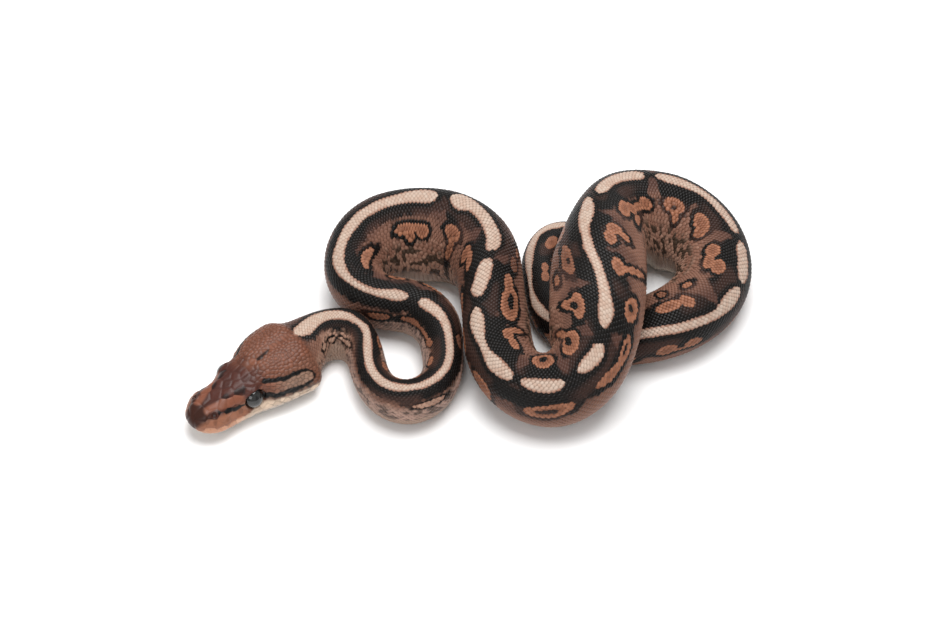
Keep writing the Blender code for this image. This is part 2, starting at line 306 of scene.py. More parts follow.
class Route:
    """The body's centre line and its oval sections."""

    def __init__(self) -> None:
        """Read the bends into one smooth run."""
        rows = np.array(ROUTE)
        steps = np.hypot(*np.diff(rows[:, :2], axis=0).T)
        knots = np.concatenate(([0.0], np.cumsum(steps)))
        fine = np.minimum(np.arange(0.0, knots[-1] + SPLINE_STEP, SPLINE_STEP), knots[-1])
        self.rows = spline(knots, rows)(fine)
        runs = np.hypot(*np.diff(self.rows[:, :2], axis=0).T)
        self.along = np.concatenate(([0.0], np.cumsum(runs)))
        self.bends = np.interp(knots, fine, self.along)
        self.length = float(self.along[-1])

    def distance(self, bend: float) -> float:
        """Return the distance along the route of a bend's number."""
        return float(np.interp(bend, range(len(self.bends)), self.bends))

    def row(self, at: np.ndarray) -> np.ndarray:
        """Return the route's columns at distances along it."""
        return np.array([np.interp(at, self.along, column) for column in self.rows.T])

    def heading(self, at: np.ndarray) -> np.ndarray:
        """Find the ways that the sections face.

        Each is drawn between two points at an even reach, so that the sections fan evenly.

        Args:
            at: Distances along the route.

        Returns:
            Unit ways over the floor, one row for each distance.
        """
        step = np.minimum(FAN_REACH, 0.4 + np.minimum(at, self.length - at))
        ahead = self.row(np.minimum(at + step, self.length))[:2]
        behind = self.row(np.maximum(at - step, 0.0))[:2]
        return unit((ahead - behind).T)

    def turning(self, at: np.ndarray) -> np.ndarray:
        """Measure how sharply the route turns.

        Args:
            at: Distances along the route.

        Returns:
            The turn to the left, in radians for each millimetre.
        """
        low = np.maximum(at - TURN_REACH, 0.0)
        high = np.minimum(at + TURN_REACH, self.length)
        behind = self.heading(low)
        ahead = self.heading(high)
        cross = behind[:, 0] * ahead[:, 1] - behind[:, 1] * ahead[:, 0]
        return np.arcsin(np.clip(cross, -1.0, 1.0)) / (high - low)

    def ceiling(self, at: np.ndarray) -> np.ndarray:
        """Return how high the body may rise at distances along the route."""
        past = np.maximum(self.distance(PRESS.first) - at, at - self.distance(PRESS.last))
        return PRESS.held + PRESS.freeing * np.maximum(past, 0.0)

    def sections(self, at: np.ndarray, turn: np.ndarray) -> np.ndarray:
        """Return the body's sections.

        Args:
            at: Distances along the route.
            turn: Angles round the section from the back, in radians.

        Returns:
            Points, one row of them for each distance.
        """
        x, y, rest, lean, width, height = self.row(at)
        rest = np.maximum(rest, 0.0)
        way = self.heading(at)
        left = np.stack([-way[:, 1], way[:, 0], np.zeros_like(x)], axis=-1)
        lean = np.radians(lean)
        sine = np.sin(lean)[:, None]
        cosine = np.cos(lean)[:, None]
        back = cosine * UP + sine * left
        across = cosine * left - sine * UP
        reach = np.hypot(width / 2 * np.sin(lean), height / 2 * np.cos(lean))
        sink = np.minimum(BELLY_SINK, SINK_SHARE * height)
        centre = np.stack([x, y, rest + reach - sink], axis=-1)[:, None]
        aside_part = np.sin(turn)[None, :, None] * across[:, None] * width[:, None, None] / 2
        back_part = np.cos(turn)[None, :, None] * back[:, None] * height[:, None, None] / 2
        points = centre + aside_part + back_part
        aside = np.einsum("nmk,nk->nm", points - centre, left)
        tucked = self.tuck_in(aside, self.turning(at)[:, None])
        points = points + (tucked - aside)[..., None] * left[:, None]
        points[..., 2] = self.press_down(points[..., 2], self.ceiling(at)[:, None])
        points[..., 2] = np.maximum(points[..., 2], rest[:, None])
        return points

    @staticmethod
    def press_down(heights: np.ndarray, ceiling: np.ndarray) -> np.ndarray:
        """Hold heights under a ceiling, with a soft shoulder below it.

        Args:
            heights: The heights.
            ceiling: What they stay under.

        Returns:
            The held heights.
        """
        soft = PRESS.shoulder
        over = np.maximum(heights - (ceiling - soft), 0.0)
        return np.minimum(heights, ceiling - soft) + soft * np.tanh(over / soft)

    @staticmethod
    def tuck_in(aside: np.ndarray, turning: np.ndarray) -> np.ndarray:
        """Hold the inner side of a bend clear of the bend's own middle.

        Args:
            aside: Distances to the left of the route.
            turning: The turn to the left there, in radians for each millimetre.

        Returns:
            The held distances.
        """
        inward = aside * np.sign(turning)
        room = TUCK_SHARE / np.maximum(np.abs(turning), 1e-6)
        over = np.maximum(inward / room, 0.0)
        return inward / (1.0 + over ** TUCK_POWER) ** (1.0 / TUCK_POWER) * np.sign(turning)


@dataclass(frozen=True)
class Swell:
    """A soft rise or hollow on both sides of the head."""

    # Its middle, how far it runs along the head and round it, and its height.
    forward: float
    aside: float
    level: float
    reach: float
    spread: float
    rise: float


@dataclass
class HeadForm:
    """The head's form, forward of the nape."""

    # The nape on the floor, the way the head points, and the head's length.
    at: tuple = (-35.4, -7.0)
    heading: float = math.radians(222.0)
    reach: float = 31.1
    # How round its sections are, how much wider below, and how far the neck's own section carries into it.
    squareness: float = 0.78
    egg: float = 0.16
    nape_blend: float = 4.0
    # Along the head: forward, half width, crown height, chin height.
    profile: tuple = (
        (0.0, 7.2, 11.8, 0.0),
        (3.5, 8.3, 12.1, 0.0),
        (7.5, 8.5, 12.2, 0.0),
        (11.5, 7.9, 11.8, 0.0),
        (14.5, 6.9, 11.1, 0.0),
        (17.5, 6.0, 10.4, 0.2),
        (21.0, 5.5, 9.5, 0.6),
        (25.0, 5.2, 8.5, 1.2),
        (28.0, 4.5, 7.7, 1.8),
        (29.6, 3.4, 7.0, 2.4),
        (30.7, 1.9, 6.2, 3.2),
        (31.1, 0.0, 4.8, 4.8),
    )
    swells: tuple = (
        Swell(18.4, 4.4, 10.0, 2.8, 1.3, 0.45),
        Swell(22.4, 5.8, 6.4, 2.2, 2.4, -0.60),
        Swell(26.2, 5.0, 6.0, 1.9, 1.9, 0.35),
        Swell(3.8, 8.0, 4.6, 3.6, 3.4, 1.0),
        Swell(9.5, 6.5, 9.2, 4.2, 2.4, 0.30),
        Swell(7.0, 0.0, 12.2, 5.5, 1.7, -0.30),
        Swell(13.8, 2.4, 11.2, 2.2, 1.6, 0.15),
        Swell(22.0, 2.2, 9.4, 2.4, 1.4, 0.18),
        Swell(25.6, 0.0, 8.5, 2.2, 1.3, -0.16),
        Swell(28.6, 1.9, 7.2, 1.1, 1.0, 0.18),
    )
    # The middle of an eye, and its radius.
    eye_forward: float = 17.6
    eye_aside: float = 4.15
    eye_height: float = 6.35
    eye_radius: float = 2.4
    # The way an eye looks: aside, forward, up.
    eye_gaze: tuple = (0.95, 0.12, 0.22)
    # The radius of the part that shows.
    eye_shown: float = 2.18
    # The opening round the eye: how long and how tall it is against eye_shown, and how far its middle lies
    # behind the eye's and below it.
    eye_long: float = 1.12
    eye_tall: float = 0.94
    eye_back: float = 0.2
    eye_down: float = 0.05
    # How deep the skin lies in the opening, how far out the eye shapes it, and how proud its rim stands.
    eye_inset: float = 0.25
    rim_reach: float = 3.6
    rim_rise: float = 0.06
    lid_swell: float = 0.12
    # The line of the lips: forward, height.
    lips: tuple = ((3.0, 4.6), (7.0, 4.0), (11.0, 3.2), (16.0, 2.7), (22.0, 2.7), (27.0, 3.0), (31.1, 3.6))
    # Where that line starts, how deep and how wide its groove is, and how far the upper lip swells.
    lip_start: float = 5.0
    lip_depth: float = 0.34
    lip_width: float = 0.17
    lip_swell: float = 0.22

    def __post_init__(self) -> None:
        """Work out the head's own directions and its smooth profile."""
        self.way = np.array([math.cos(self.heading), math.sin(self.heading), 0.0])
        self.right = np.array([self.way[1], -self.way[0], 0.0])
        rows = np.array(self.profile)
        knots = np.arcsin(np.minimum(rows[:, 0] / self.reach, 1.0)) * 2.0 / math.pi
        self.read = spline(knots, rows[:, 1:])

    def place(self, forward: float, aside: float, level: float) -> np.ndarray:
        """Return a point of the route's frame from the head's own coordinates."""
        start = np.array([*self.at, level])
        return start + self.way * forward + self.right * aside

    def own(self, points: np.ndarray) -> tuple:
        """Return the head's own coordinates: forward, aside and level."""
        offset = points - np.array([*self.at, 0.0])
        return offset @ self.way, offset @ self.right, points[..., 2]

    def base(self, share: np.ndarray, turn: np.ndarray, neck: np.ndarray) -> np.ndarray:
        """Return the head's plain sections.

        Args:
            share: From 0 at the nape to 1 at the snout, as the sine's angle.
            turn: Angles round the section from the crown, in radians.
            neck: The body's own section at the nape, at the same angles.

        Returns:
            Points, one row of them for each share.
        """
        forward = self.reach * np.sin(share * math.pi / 2)
        half, crown, chin = self.read(share).T
        half = np.maximum(half, 0.0)
        sine = np.sign(np.sin(turn)) * np.abs(np.sin(turn)) ** self.squareness
        cosine = np.sign(np.cos(turn)) * np.abs(np.cos(turn)) ** self.squareness
        across = half[:, None] * sine * (1.0 - self.egg * cosine)
        middle = (crown + chin) / 2
        level = middle[:, None] + ((crown - chin) / 2)[:, None] * cosine
        start = np.array([*self.at, 0.0]) + forward[:, None] * self.way
        own = start[:, None] + across[..., None] * self.right
        own = own + level[..., None] * UP
        part = smooth(forward, 0.0, self.nape_blend)[:, None, None]
        carried = neck[None] + (forward[:, None] * self.way)[:, None]
        return own * part + carried * (1.0 - part)

    def lip_level(self, forward: np.ndarray) -> np.ndarray:
        """Return the height of the line of the lips."""
        return read_table(forward, self.lips)

    def shaped(self, points: np.ndarray, normals: np.ndarray) -> np.ndarray:
        """Add the swells, the line of the lips and the eyes' places.

        Args:
            points: Points of the plain form.
            normals: Their outward directions.

        Returns:
            The moved points.
        """
        forward, aside, level = self.own(points)
        rise = np.zeros(forward.shape)
        for swell in self.swells:
            far = ((forward - swell.forward) / swell.reach) ** 2
            gap = (np.abs(aside) - swell.aside) ** 2 + (level - swell.level) ** 2
            rise += swell.rise * np.exp(-far - gap / swell.spread ** 2)
        lips = self.lip_level(forward)
        shown = smooth(forward, self.lip_start, self.lip_start + 3.0)
        above = (level - lips) / 1.3
        rise += self.lip_swell * shown * np.exp(-(above - 1.0) ** 2)
        rise -= self.lip_depth * shown * np.exp(-((level - lips) / self.lip_width) ** 2)
        moved = points + normals * rise[..., None]
        for side in (1.0, -1.0):
            moved = self.set_eye(moved, side)
        return moved

    def eye_centre(self, side: float) -> np.ndarray:
        """Return the middle of an eye; side is 1 for the head's right."""
        return self.place(self.eye_forward, self.eye_aside * side, self.eye_height)

    def eye_axes(self, side: float) -> tuple:
        """Find an eye's own directions.

        Args:
            side: 1 for the head's right, -1 for its left.

        Returns:
            Its ways ahead, up and out, each a unit vector.
        """
        aside, forward, level = self.eye_gaze
        gaze = unit(self.right * aside * side + self.way * forward + UP * level)
        up = unit(UP - gaze * gaze[2])
        return np.cross(up, gaze) * side, up, gaze

    def set_eye(self, points: np.ndarray, side: float) -> np.ndarray:
        """Sink the skin round one eye to a rim that the eye fills.

        Args:
            points: Points of the head.
            side: 1 for the head's right, -1 for its left.

        Returns:
            The moved points.
        """
        ahead, up, gaze = self.eye_axes(side)
        offset = points - self.eye_centre(side)
        height = offset @ gaze
        along = offset @ ahead
        above = offset @ up
        true = np.hypot(along, above)
        radial = np.hypot((along + self.eye_back) / self.eye_long, (above + self.eye_down) / self.eye_tall)
        edge = self.eye_shown * true / np.maximum(radial, 0.2)
        # Inside the opening the skin lies under the ball, and at its edge it stands a little proud in a lid.
        inner = np.sqrt(np.maximum((self.eye_radius - self.eye_inset) ** 2 - true ** 2, 0.01))
        rim = np.sqrt(np.maximum(self.eye_radius ** 2 - edge ** 2, 1.0)) + self.rim_rise
        rim += self.lid_swell * np.exp(-((radial - self.eye_shown - 0.42) / 0.25) ** 2)
        fall = smooth(radial, self.eye_shown - 0.1, self.eye_shown + 0.15)
        wanted = np.minimum(inner, rim - 0.35) * (1.0 - fall) + rim * fall
        hold = (1.0 - smooth(radial, self.eye_shown + 0.35, self.rim_reach)) * (height > 0.0)
        return points + ((wanted - height) * hold)[..., None] * gaze


class Hide:
    """The coat's outer surface, read by place and by share of the girth."""

    STEP = 0.5
    HEAD_STATIONS = 90
    TURNS = 240
    SHARES = 176
    SOFTENING = 3

    def __init__(self, route: Route, head: HeadForm) -> None:
        """Lay the sections of head and body in one table.

        Args:
            route: The body's route.
            head: The head's form.
        """
        self.route = route
        self.head = head
        turn = np.arange(self.TURNS) * 2.0 * math.pi / self.TURNS
        neck = route.sections(np.array([0.0]), turn)[0]
        share = np.linspace(1.0, 0.0, self.HEAD_STATIONS, endpoint=False)
        plain = head.base(share, turn, neck)
        body_at = np.arange(0.0, route.length, self.STEP)
        body = route.sections(body_at, turn)
        rings = np.concatenate([plain, body])
        self.places = np.concatenate([-head.reach * np.sin(share * math.pi / 2), body_at])
        self.shares = np.arange(self.SHARES + 1) / self.SHARES - 0.5
        rings, self.girths = self.even_out(rings)
        rings = self.relax(rings)
        normals = self.normals_of(rings)
        ahead = self.places < 0.0
        rings[ahead] = head.shaped(rings[ahead], normals[ahead])
        self.points = rings
        self.normals = self.normals_of(rings)
        back = self.points[:, self.SHARES // 2]
        runs = np.linalg.norm(np.diff(back, axis=0), axis=1)
        self.back_length = np.concatenate(([0.0], np.cumsum(runs)))

    def even_out(self, rings: np.ndarray) -> tuple:
        """Space each ring's points evenly round its girth.

        Args:
            rings: Points at even angles from the back.

        Returns:
            The rings at even shares from one half to the other, and the girths.
        """
        closed = np.concatenate([rings, rings[:, :1]], axis=1)
        steps = np.linalg.norm(np.diff(closed, axis=1), axis=2)
        run = np.concatenate([np.zeros((len(rings), 1)), np.cumsum(steps, axis=1)], axis=1)
        girths = run[:, -1]
        spaced = np.empty((len(rings), len(self.shares), 3))
        for i, ring in enumerate(closed):
            total = max(girths[i], 1e-6)
            wanted = np.mod(self.shares, 1.0) * total
            for k in range(3):
                spaced[i, :, k] = np.interp(wanted, run[i], ring[:, k])
        return spaced, girths

    @staticmethod
    def relax(rings: np.ndarray) -> np.ndarray:
        """Soften creases along and round the body a little.

        Args:
            rings: Points in closed rings, the last of each the same as its first.

        Returns:
            The softened rings.
        """
        held = rings.copy()
        for _ in range(Hide.SOFTENING):
            held[1:-1] = (held[:-2] + held[2:]) * 0.25 + held[1:-1] * 0.5
            loop = held[:, :-1]
            loop = loop * 0.5 + (np.roll(loop, 1, axis=1) + np.roll(loop, -1, axis=1)) * 0.25
            held[:, :-1] = loop
            held[:, -1] = loop[:, 0]
        return held

    @staticmethod
    def normals_of(rings: np.ndarray) -> np.ndarray:
        """Find which way a table of rings faces.

        Args:
            rings: Points in closed rings, the last of each the same as its first.

        Returns:
            The outward unit normals.
        """
        along = np.gradient(rings, axis=0)
        loop = rings[:, :-1]
        around = np.roll(loop, -1, axis=1) - np.roll(loop, 1, axis=1)
        around = np.concatenate([around, around[:, :1]], axis=1)
        normals = unit(np.cross(around, along))
        middle = loop.mean(axis=1, keepdims=True)
        if np.mean(np.sum(normals * (rings - middle), axis=-1)) < 0.0:
            normals = -normals
        normals[0] = unit(normals[1].mean(axis=0))
        return normals

    def read(self, place: np.ndarray, share: np.ndarray) -> tuple:
        """Read points and normals of the surface.

        Args:
            place: Distances along the body.
            share: Shares of the girth, which wrap round.

        Returns:
            Points and outward unit normals.
        """
        i = np.interp(place, self.places, np.arange(len(self.places)))
        j = np.mod(share + 0.5, 1.0) * self.SHARES
        i0 = np.clip(i.astype(int), 0, len(self.places) - 2)
        j0 = np.clip(j.astype(int), 0, self.SHARES - 1)
        u = (i - i0)[..., None]
        v = (j - j0)[..., None]
        found = []
        for table in (self.points, self.normals):
            low = table[i0, j0] * (1.0 - v) + table[i0, j0 + 1] * v
            high = table[i0 + 1, j0] * (1.0 - v) + table[i0 + 1, j0 + 1] * v
            found.append(low * (1.0 - u) + high * u)
        return found[0], unit(found[1])

    def girth(self, place: np.ndarray) -> np.ndarray:
        """Return the girth of the body at places."""
        return np.interp(place, self.places, self.girths)

    def skin_depth(self, place: np.ndarray) -> np.ndarray:
        """Return how deep the skin lies under the coat at places."""
        return np.minimum(SKIN_DEPTH, self.girth(place) * THIN_SHARE)


@dataclass(frozen=True)
class Tone:
    """A colour as it is seen, each part from 0 to 255."""

    red: float
    green: float
    blue: float

    def linear(self) -> np.ndarray:
        """Return the colour in the linear numbers that shading takes."""
        seen = np.array([self.red, self.green, self.blue]) / 255.0
        return np.where(seen <= 0.04045, seen / 12.92, ((seen + 0.055) / 1.055) ** 2.4)


@dataclass(frozen=True)
class Palette:
    """The tones of the animal."""

    stripe: Tone = Tone(186, 166, 151)
    stripe_blush: Tone = Tone(174, 146, 129)
    rust: Tone = Tone(126, 74, 52)
    blotch: Tone = Tone(148, 99, 75)
    blotch_core: Tone = Tone(112, 70, 51)
    black: Tone = Tone(11, 9, 8)
    soot: Tone = Tone(25, 20, 17)
    umber: Tone = Tone(76, 51, 43)
    flank: Tone = Tone(120, 85, 70)
    sand: Tone = Tone(162, 126, 108)
    mist: Tone = Tone(164, 133, 119)
    olive: Tone = Tone(32, 26, 17)
    belly: Tone = Tone(156, 130, 114)
    crown: Tone = Tone(108, 66, 49)
    maroon: Tone = Tone(66, 34, 27)
    snout: Tone = Tone(53, 27, 19)
    canthus: Tone = Tone(118, 71, 53)
    temple: Tone = Tone(140, 110, 93)
    labial: Tone = Tone(139, 92, 70)
    lip: Tone = Tone(206, 182, 160)
    peach: Tone = Tone(196, 144, 116)
    chin: Tone = Tone(200, 186, 172)

    def linear(self) -> dict:
        """Return the linear numbers of each tone, by its name."""
        return {part.name: getattr(self, part.name).linear() for part in fields(self)}


@dataclass(frozen=True)
class Lobe:
    """An oval: place and offset of its middle, half sizes, turn in degrees."""

    place: float
    offset: float
    half_length: float
    half_width: float
    turn: float = 0.0

    # Makes up for measuring by the shorter half size alone.
    EVENING = 1.15

    def distance(self, place: np.ndarray, offset: np.ndarray) -> np.ndarray:
        """Measure about how far places lie outside the oval.

        Args:
            place: Distances along the body.
            offset: Distances round from the back's middle.

        Returns:
            Millimetres, below 0 inside it.
        """
        angle = math.radians(self.turn)
        x = place - self.place
        y = offset - self.offset
        along = x * math.cos(angle) + y * math.sin(angle)
        across = y * math.cos(angle) - x * math.sin(angle)
        ratio = np.hypot(along / self.half_length, across / self.half_width)
        return (ratio - 1.0) * min(self.half_length, self.half_width) * self.EVENING


@dataclass(frozen=True)
class Blotch:
    """A pale mark on the flank, with its dark core if it has one."""

    lobes: tuple
    cores: tuple = ()
    dull: float = 0.0


# The pale stripe along the back, a run at a time: place, left edge, right edge.
STRIPE = (
    ((-2.8, -0.4, -1.1), (-1.0, 0.9, -2.4), (1.0, 1.0, -3.3), (3.0, 0.8, -3.1), (6.0, 0.1, -2.9),
     (8.0, -0.4, -3.0), (10.0, -0.8, -3.0), (12.0, -0.9, -2.6), (13.5, -0.2, -1.8), (15.0, 1.0, -1.2),
     (16.5, 1.4, -0.8), (20.0, 1.5, -0.9), (25.0, 1.2, -1.0), (30.0, 1.4, -0.9), (33.0, 1.6, -0.6),
     (36.0, 1.5, -0.3), (40.0, 1.0, -0.9), (44.0, 0.4, -1.5), (48.0, 0.3, -1.8), (52.0, 0.3, -1.8),
     (55.0, 0.6, -1.6), (58.0, 1.8, -1.0), (60.0, 2.4, -0.5), (62.0, 2.5, -0.2), (63.5, 2.3, 0.0)),
    ((66.4, 1.9, 0.8), (68.3, 2.5, -0.3), (70.0, 2.2, -0.6), (72.0, 1.8, -0.4), (74.0, 1.5, -0.1),
     (78.0, 1.5, -0.2), (80.0, 1.8, -0.6), (82.0, 1.9, -1.2), (83.2, 1.6, -1.7), (85.0, 0.3, -2.3),
     (87.0, -0.3, -3.1), (89.0, -0.8, -3.6), (91.0, -1.2, -4.0), (93.0, -1.7, -4.4), (97.0, -2.0, -4.8),
     (99.0, -1.7, -4.8), (101.0, -1.1, -4.8), (103.0, -0.6, -4.9), (106.2, -0.6, -4.7)),
    ((108.8, 0.6, -3.0), (110.2, 1.6, -3.6), (112.0, 1.8, -3.6), (113.0, 1.6, -2.8), (114.0, 1.3, -2.2),
     (118.0, 1.0, -2.2), (120.0, 1.3, -2.1), (122.0, 2.1, -1.6), (125.1, 2.4, -1.2)),
    ((127.0, 1.0, -1.0), (128.6, 1.9, -1.8), (132.0, 2.0, -2.0), (133.3, 1.7, -2.7), (134.6, 1.4, -2.3),
     (136.3, 0.8, -0.6)),
    ((138.6, 0.1, -1.5), (140.3, 1.0, -2.2), (141.5, 1.5, -2.4), (143.0, 1.7, -2.0), (146.5, 1.0, -1.0),
     (148.6, 1.0, -1.1), (151.0, 1.8, -1.8), (152.5, 1.9, -1.5), (154.8, 1.6, -0.9)),
    ((156.2, 1.4, -0.4), (158.2, 2.0, -0.8), (160.0, 2.2, -1.0), (162.4, 1.6, -0.5)),
    ((164.5, 1.9, 0.5), (166.1, 2.3, -0.8), (167.6, 1.9, -1.5), (168.8, 1.5, -1.8), (169.8, 0.6, -1.5)),
    ((172.0, 1.3, -0.8), (174.0, 1.5, -2.0), (175.2, 1.4, -2.3), (178.0, 1.0, -1.8), (180.0, 1.0, -1.5),
     (184.0, 1.2, -1.1), (186.0, 1.4, -0.9), (188.0, 1.7, -0.6), (190.0, 2.1, -0.4), (194.0, 2.0, -0.1),
     (196.0, 2.2, -0.3), (198.7, 2.3, -1.4), (200.0, 2.2, -1.7), (202.0, 1.9, -1.7), (204.5, 1.4, -0.6)),
    ((205.8, -0.9, -3.1), (207.5, -0.3, -4.0), (211.6, -0.8, -4.3), (216.5, -1.1, -4.8)),
    ((218.3, -1.4, -3.8), (220.4, -1.5, -4.6), (222.0, -1.5, -4.6), (226.6, -1.2, -3.6), (230.0, -0.8, -3.8),
     (234.8, -0.2, -2.8)),
    ((236.2, 0.5, -2.0), (238.0, 0.9, -2.7), (241.0, 1.9, -2.2), (243.2, 1.7, -1.4)),
    ((244.3, 1.7, -0.7), (246.3, 2.3, -1.5), (248.0, 2.3, -1.5), (250.5, 1.9, -0.4), (254.0, 1.5, -0.7),
     (258.0, 1.2, -1.0), (263.4, 0.5, -1.8), (270.0, 0.6, -1.5), (275.5, 0.7, -0.6)),
    ((278.0, 0.9, -0.5), (284.0, 1.5, -1.0), (286.3, 1.8, -0.6), (290.0, 1.2, -0.1), (294.0, 1.0, -0.8),
     (298.0, 1.4, -1.3), (304.0, 1.7, -0.8), (308.0, 1.0, -1.9), (311.0, 0.6, -1.2)),
    ((313.2, 0.9, -0.7), (317.0, 1.1, -1.0), (320.5, 0.8, -0.7)),
    ((322.2, 0.7, -0.6), (326.0, 0.9, -0.7), (329.5, 0.5, -0.5)),
    ((330.9, 0.4, -0.4), (334.0, 0.5, -0.5), (339.0, 0.3, -0.3)),
)

# The marks of the flanks that lie as the animal shows them.
BLOTCHES = (
    Blotch((Lobe(2.8, -7.7, 1.1, 0.6, 12), Lobe(6.9, -7.4, 1.5, 0.6, -6)), dull=-0.7),
    Blotch((Lobe(10.8, -7.2, 1.5, 0.4), Lobe(14.2, -6.1, 2.5, 0.5, 28)), dull=-0.7),
    Blotch((Lobe(38.2, -4.5, 2.6, 0.7, -10),), dull=-0.6),
    Blotch((Lobe(51.8, -3.9, 1.5, 1.0),), dull=0.9),
    Blotch((Lobe(45.2, 4.0, 1.8, 0.8),), dull=0.1),
    Blotch((Lobe(51.4, 4.4, 1.6, 0.85, 15), Lobe(55.4, 5.4, 3.4, 0.5, 15), Lobe(62.0, 6.4, 4.5, 0.7, 3)),
           dull=0.35),
    Blotch((Lobe(71.6, 6.5, 2.2, 0.9),), dull=0.45),
    Blotch((Lobe(82.3, -6.5, 4.7, 1.05, -30),), dull=-0.1),
    Blotch((Lobe(99.2, -10.6, 3.0, 1.3), Lobe(100.6, -12.3, 1.4, 1.3), Lobe(104.0, -11.2, 1.8, 1.6),
            Lobe(102.2, -10.6, 1.8, 0.95))),
    Blotch((Lobe(113.2, -8.6, 2.8, 1.7), Lobe(113.9, -12.2, 1.3, 3.0)), dull=0.1),
    Blotch((Lobe(121.6, -7.8, 1.7, 2.0), Lobe(124.8, -5.5, 3.0, 0.95, 12)), dull=0.1),
    Blotch((Lobe(160.2, -5.5, 3.0, 1.7, 14),), (Lobe(160.0, -5.5, 1.4, 0.6, 10),), dull=0.1),
    Blotch((Lobe(168.3, -5.8, 2.7, 1.0, -33), Lobe(171.8, -7.0, 2.1, 1.3, -20)),
           (Lobe(172.0, -6.9, 0.9, 0.35, -20),), dull=0.15),
    Blotch((Lobe(177.5, -7.1, 2.5, 1.7, -35),), (Lobe(177.6, -6.8, 0.75, 0.75),)),
    Blotch((Lobe(185.6, -4.6, 2.3, 1.4), Lobe(185.9, -8.6, 0.85, 3.9, 11))),
    Blotch((Lobe(193.2, -4.4, 2.0, 1.3), Lobe(195.8, -5.8, 1.5, 1.8), Lobe(194.2, -7.8, 1.4, 0.9, 30))),
    Blotch((Lobe(204.6, -8.8, 3.1, 1.6), Lobe(207.3, -10.5, 2.3, 1.6, -30),
            Lobe(205.4, -12.9, 3.3, 0.9, -5))),
    Blotch((Lobe(211.2, -11.2, 2.8, 1.05), Lobe(214.8, -10.5, 1.9, 1.5))),
    Blotch((Lobe(222.8, -9.5, 2.7, 1.8), Lobe(224.0, -11.4, 1.1, 1.7, 20)), (Lobe(222.8, -10.1, 0.8, 0.5),)),
    Blotch((Lobe(231.3, -8.7, 2.9, 1.7, -10), Lobe(233.2, -10.2, 1.6, 1.5))),
    Blotch((Lobe(239.6, -8.2, 1.9, 1.6, -25), Lobe(243.5, -6.3, 1.8, 1.6), Lobe(242.8, -8.7, 2.2, 1.2))),
    Blotch((Lobe(251.4, -8.8, 1.2, 0.8),), dull=0.1),
    Blotch((Lobe(254.0, -5.0, 1.2, 1.8, 15), Lobe(257.6, -5.4, 2.6, 1.4))),
    Blotch((Lobe(257.4, -9.4, 1.0, 1.0),), dull=0.6),
    Blotch((Lobe(291.0, -3.7, 1.6, 0.9), Lobe(293.9, -3.9, 1.4, 0.8)), dull=0.2),
    Blotch((Lobe(303.2, -4.1, 2.8, 1.2),), dull=0.2),
    Blotch((Lobe(123.8, 7.9, 1.2, 0.7),), dull=0.4),
    Blotch((Lobe(127.2, 7.2, 1.8, 1.1, 20),), dull=0.9),
    Blotch((Lobe(138.0, 7.5, 4.8, 2.4), Lobe(133.4, 6.7, 3.4, 1.2, 12)), (Lobe(137.4, 7.6, 2.2, 0.85, 3),)),
    Blotch((Lobe(145.5, 8.6, 0.9, 2.4, 8), Lobe(146.8, 6.3, 1.6, 1.3), Lobe(149.6, 6.6, 2.1, 1.05))),
    Blotch((Lobe(158.8, 7.1, 2.6, 2.4),), (Lobe(158.7, 7.5, 0.95, 1.2),)),
    Blotch((Lobe(166.4, 6.9, 2.5, 2.3), Lobe(167.0, 10.2, 1.0, 2.2)), (Lobe(166.3, 7.7, 0.85, 1.2),)),
    Blotch((Lobe(174.4, 6.0, 3.0, 1.5), Lobe(174.4, 8.0, 1.4, 2.0)), (Lobe(174.1, 6.9, 1.0, 0.9),)),
    Blotch((Lobe(183.2, 10.2, 1.9, 0.8),), dull=0.4),
    Blotch((Lobe(188.0, 6.4, 4.9, 1.4, 3), Lobe(186.6, 7.0, 1.8, 1.1)), (Lobe(187.6, 6.2, 1.2, 0.5),),
           dull=0.6),
    Blotch((Lobe(255.4, 5.0, 1.6, 1.1), Lobe(260.0, 4.9, 1.8, 1.3), Lobe(257.8, 5.6, 1.6, 0.4)), dull=0.2),
)


@dataclass(frozen=True)
class HiddenRun:
    """A run of flank out of sight, marked as the species is."""

    first: float
    last: float
    flank: Flank
    spacing: float = 8.6


# The runs of flank that take seeded marks, each with its side and the marks' spacing.
HIDDEN_RUNS = (
    HiddenRun(8.0, 42.0, Flank.LEFT, 6.8),
    HiddenRun(60.0, 76.0, Flank.RIGHT, 7.2),
    HiddenRun(84.0, 120.0, Flank.LEFT, 8.2),
    HiddenRun(130.0, 154.0, Flank.RIGHT, 8.0),
    HiddenRun(194.0, 251.0, Flank.LEFT, 8.6),
    HiddenRun(264.0, 324.0, Flank.LEFT, 6.2),
    HiddenRun(262.0, 287.0, Flank.RIGHT, 6.6),
    HiddenRun(308.0, 328.0, Flank.RIGHT, 5.4),
)


